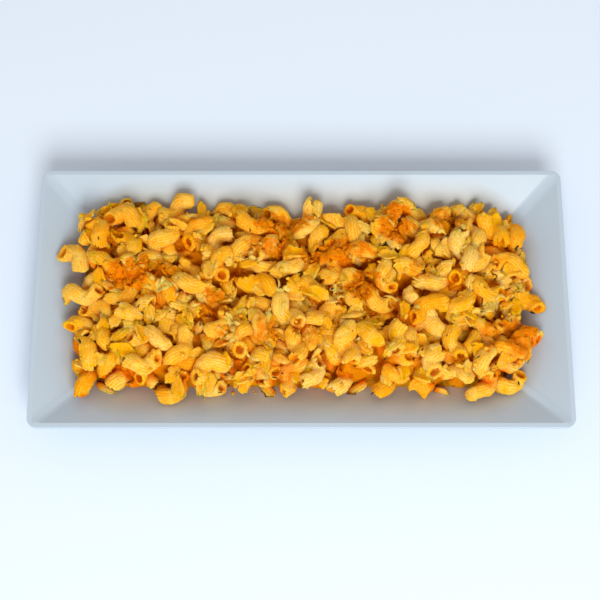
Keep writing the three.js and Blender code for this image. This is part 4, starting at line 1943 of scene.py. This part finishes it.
@dataclass
class Studio:
    """A pale floor, soft light and the camera. Places and sizes are in metres."""

    rim_height: float
    floor_size: float = 6
    elevation_degrees: float = 71.0
    distance: float = 0.8
    picture_pixels: int = 600
    focal_pixels: float = 1400.0
    middle_pixel: tuple[float, float] = (301.3, 295.0)
    sensor_mm: float = 36.0
    lamp_place: tuple[float, float, float] = (0.17, -1.26, 1.215)
    lamp_size: float = 0.85
    lamp_watts: float = 26
    lamp_colour: str = "#FFFEFA"
    room_colour: str = "#F1ECE6"
    room_strength: float = 0.73

    def floor(self) -> None:
        """Adds the floor that the dish stands on."""
        bpy.ops.object.select_all(action="DESELECT")
        bpy.ops.mesh.primitive_plane_add(size=self.floor_size)
        floor = bpy.context.object
        floor.name = "pale_floor"
        floor.data.materials.append(MattFloor().material())

    def camera(self) -> None:
        """Adds the camera at the viewing angle of the picture."""
        lens = bpy.data.cameras.new("camera")
        lens.sensor_width = self.sensor_mm
        lens.lens = self.sensor_mm * self.focal_pixels / self.picture_pixels
        half = self.picture_pixels / 2
        lens.shift_x = (half - self.middle_pixel[0]) / self.picture_pixels
        lens.shift_y = (self.middle_pixel[1] - half) / self.picture_pixels
        camera = bpy.data.objects.new("camera", lens)
        bpy.context.scene.collection.objects.link(camera)
        angle = math.radians(self.elevation_degrees)
        back = Vector((0, -math.cos(angle), math.sin(angle)))
        camera.location = Vector((0, 0, self.rim_height)) + back * self.distance
        camera.rotation_euler = (math.radians(90 - self.elevation_degrees), 0, 0)
        bpy.context.scene.camera = camera

    def light(self) -> None:
        """Adds a soft lamp that faces the dish, and the even light of the room."""
        glow = bpy.data.lights.new("soft_lamp", "AREA")
        glow.size = self.lamp_size
        glow.energy = self.lamp_watts
        glow.color = linear(self.lamp_colour)[:3]
        lamp = bpy.data.objects.new("soft_lamp", glow)
        bpy.context.scene.collection.objects.link(lamp)
        lamp.location = self.lamp_place
        lamp.rotation_euler = (-Vector(self.lamp_place)).to_track_quat("-Z", "Y").to_euler()
        world = bpy.data.worlds.new("room")
        world.use_nodes = True
        shade = world.node_tree.nodes["Background"]
        shade.inputs["Color"].default_value = linear(self.room_colour)
        shade.inputs["Strength"].default_value = self.room_strength
        bpy.context.scene.world = world
        bpy.context.scene.view_settings.view_transform = "Standard"


# Putting it together


def dressed(piece: bpy.types.Object, node: str) -> None:
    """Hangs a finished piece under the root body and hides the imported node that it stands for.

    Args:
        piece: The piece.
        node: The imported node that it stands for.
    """
    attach(piece, "root")
    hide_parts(node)
    piece.data.calc_loop_triangles()
    log.info("%s: %d triangles", piece.name, len(piece.data.loop_triangles))


def main() -> None:
    """Builds the dish, the heap and the setting."""
    logging.basicConfig(level=logging.INFO, format="%(name)s %(message)s")
    log.info("the packed nodes are %s", ", ".join(frame["nodes"]))
    surfaces = Surfaces()
    studio = Studio(rim_height=surfaces.dish.height * MM)
    studio.camera()
    studio.light()
    studio.floor()
    glaze = GlazedPorcelain(surfaces).material()
    dressed(PorcelainDish(surfaces.dish).build(glaze), "dish")
    pile = Pile(surfaces)
    top = HeapTop(pile)
    pasta = {
        MacaroniKind.PALE: CheesePasta("pale_cheese_pasta", "#FFDE8A", "#FFB400"),
        MacaroniKind.CREAMY: CheesePasta("creamy_cheese_pasta", "#FFDA78", "#FFB000"),
        MacaroniKind.SAUCED: CheesePasta("sauced_cheese_pasta", "#FFD66C", "#FFAC00"),
        MacaroniKind.GOLDEN: CheesePasta("golden_cheese_pasta", "#FFD058", "#FFA400"),
    }
    food = [
        (kind.value, skin, pasta[kind]) for kind, skin in Macaroni(pile, top).build().items()
    ]
    # The melted cheese's deep colour is painted shade in the gaps deep in the heap
    melted = CheesePasta("melted_cheese", "#FFB428", "#F09A00", deep="#D27800", grain_mm=1.4)
    torn = CheesePasta("torn_cheese_pasta", "#FFDA7C", "#FFAE00")
    frayed = CheesePasta("frayed_cheese", "#FFD678", "#FFB41E")
    curds = CheesePasta("cheese_curds", "#FFCC50", "#FFA000")
    food += [
        ("melted_cheese", CheeseBlanket(top, surfaces).build(), melted),
        ("torn_pasta", TornPasta(top, surfaces).build(), torn),
        ("cheese_shreds", CheeseShreds(top, surfaces).build(), frayed),
        ("cheese_crumbs", Crumbs(top, surfaces).build(), curds),
        ("herb_flecks", HerbFlecks(top, surfaces).build(), DriedHerb()),
    ]
    for name, skin, finish in food:
        dressed(skin.make(name, finish.material()), "macaroni_heap")


if __name__ == "__main__":
    main()
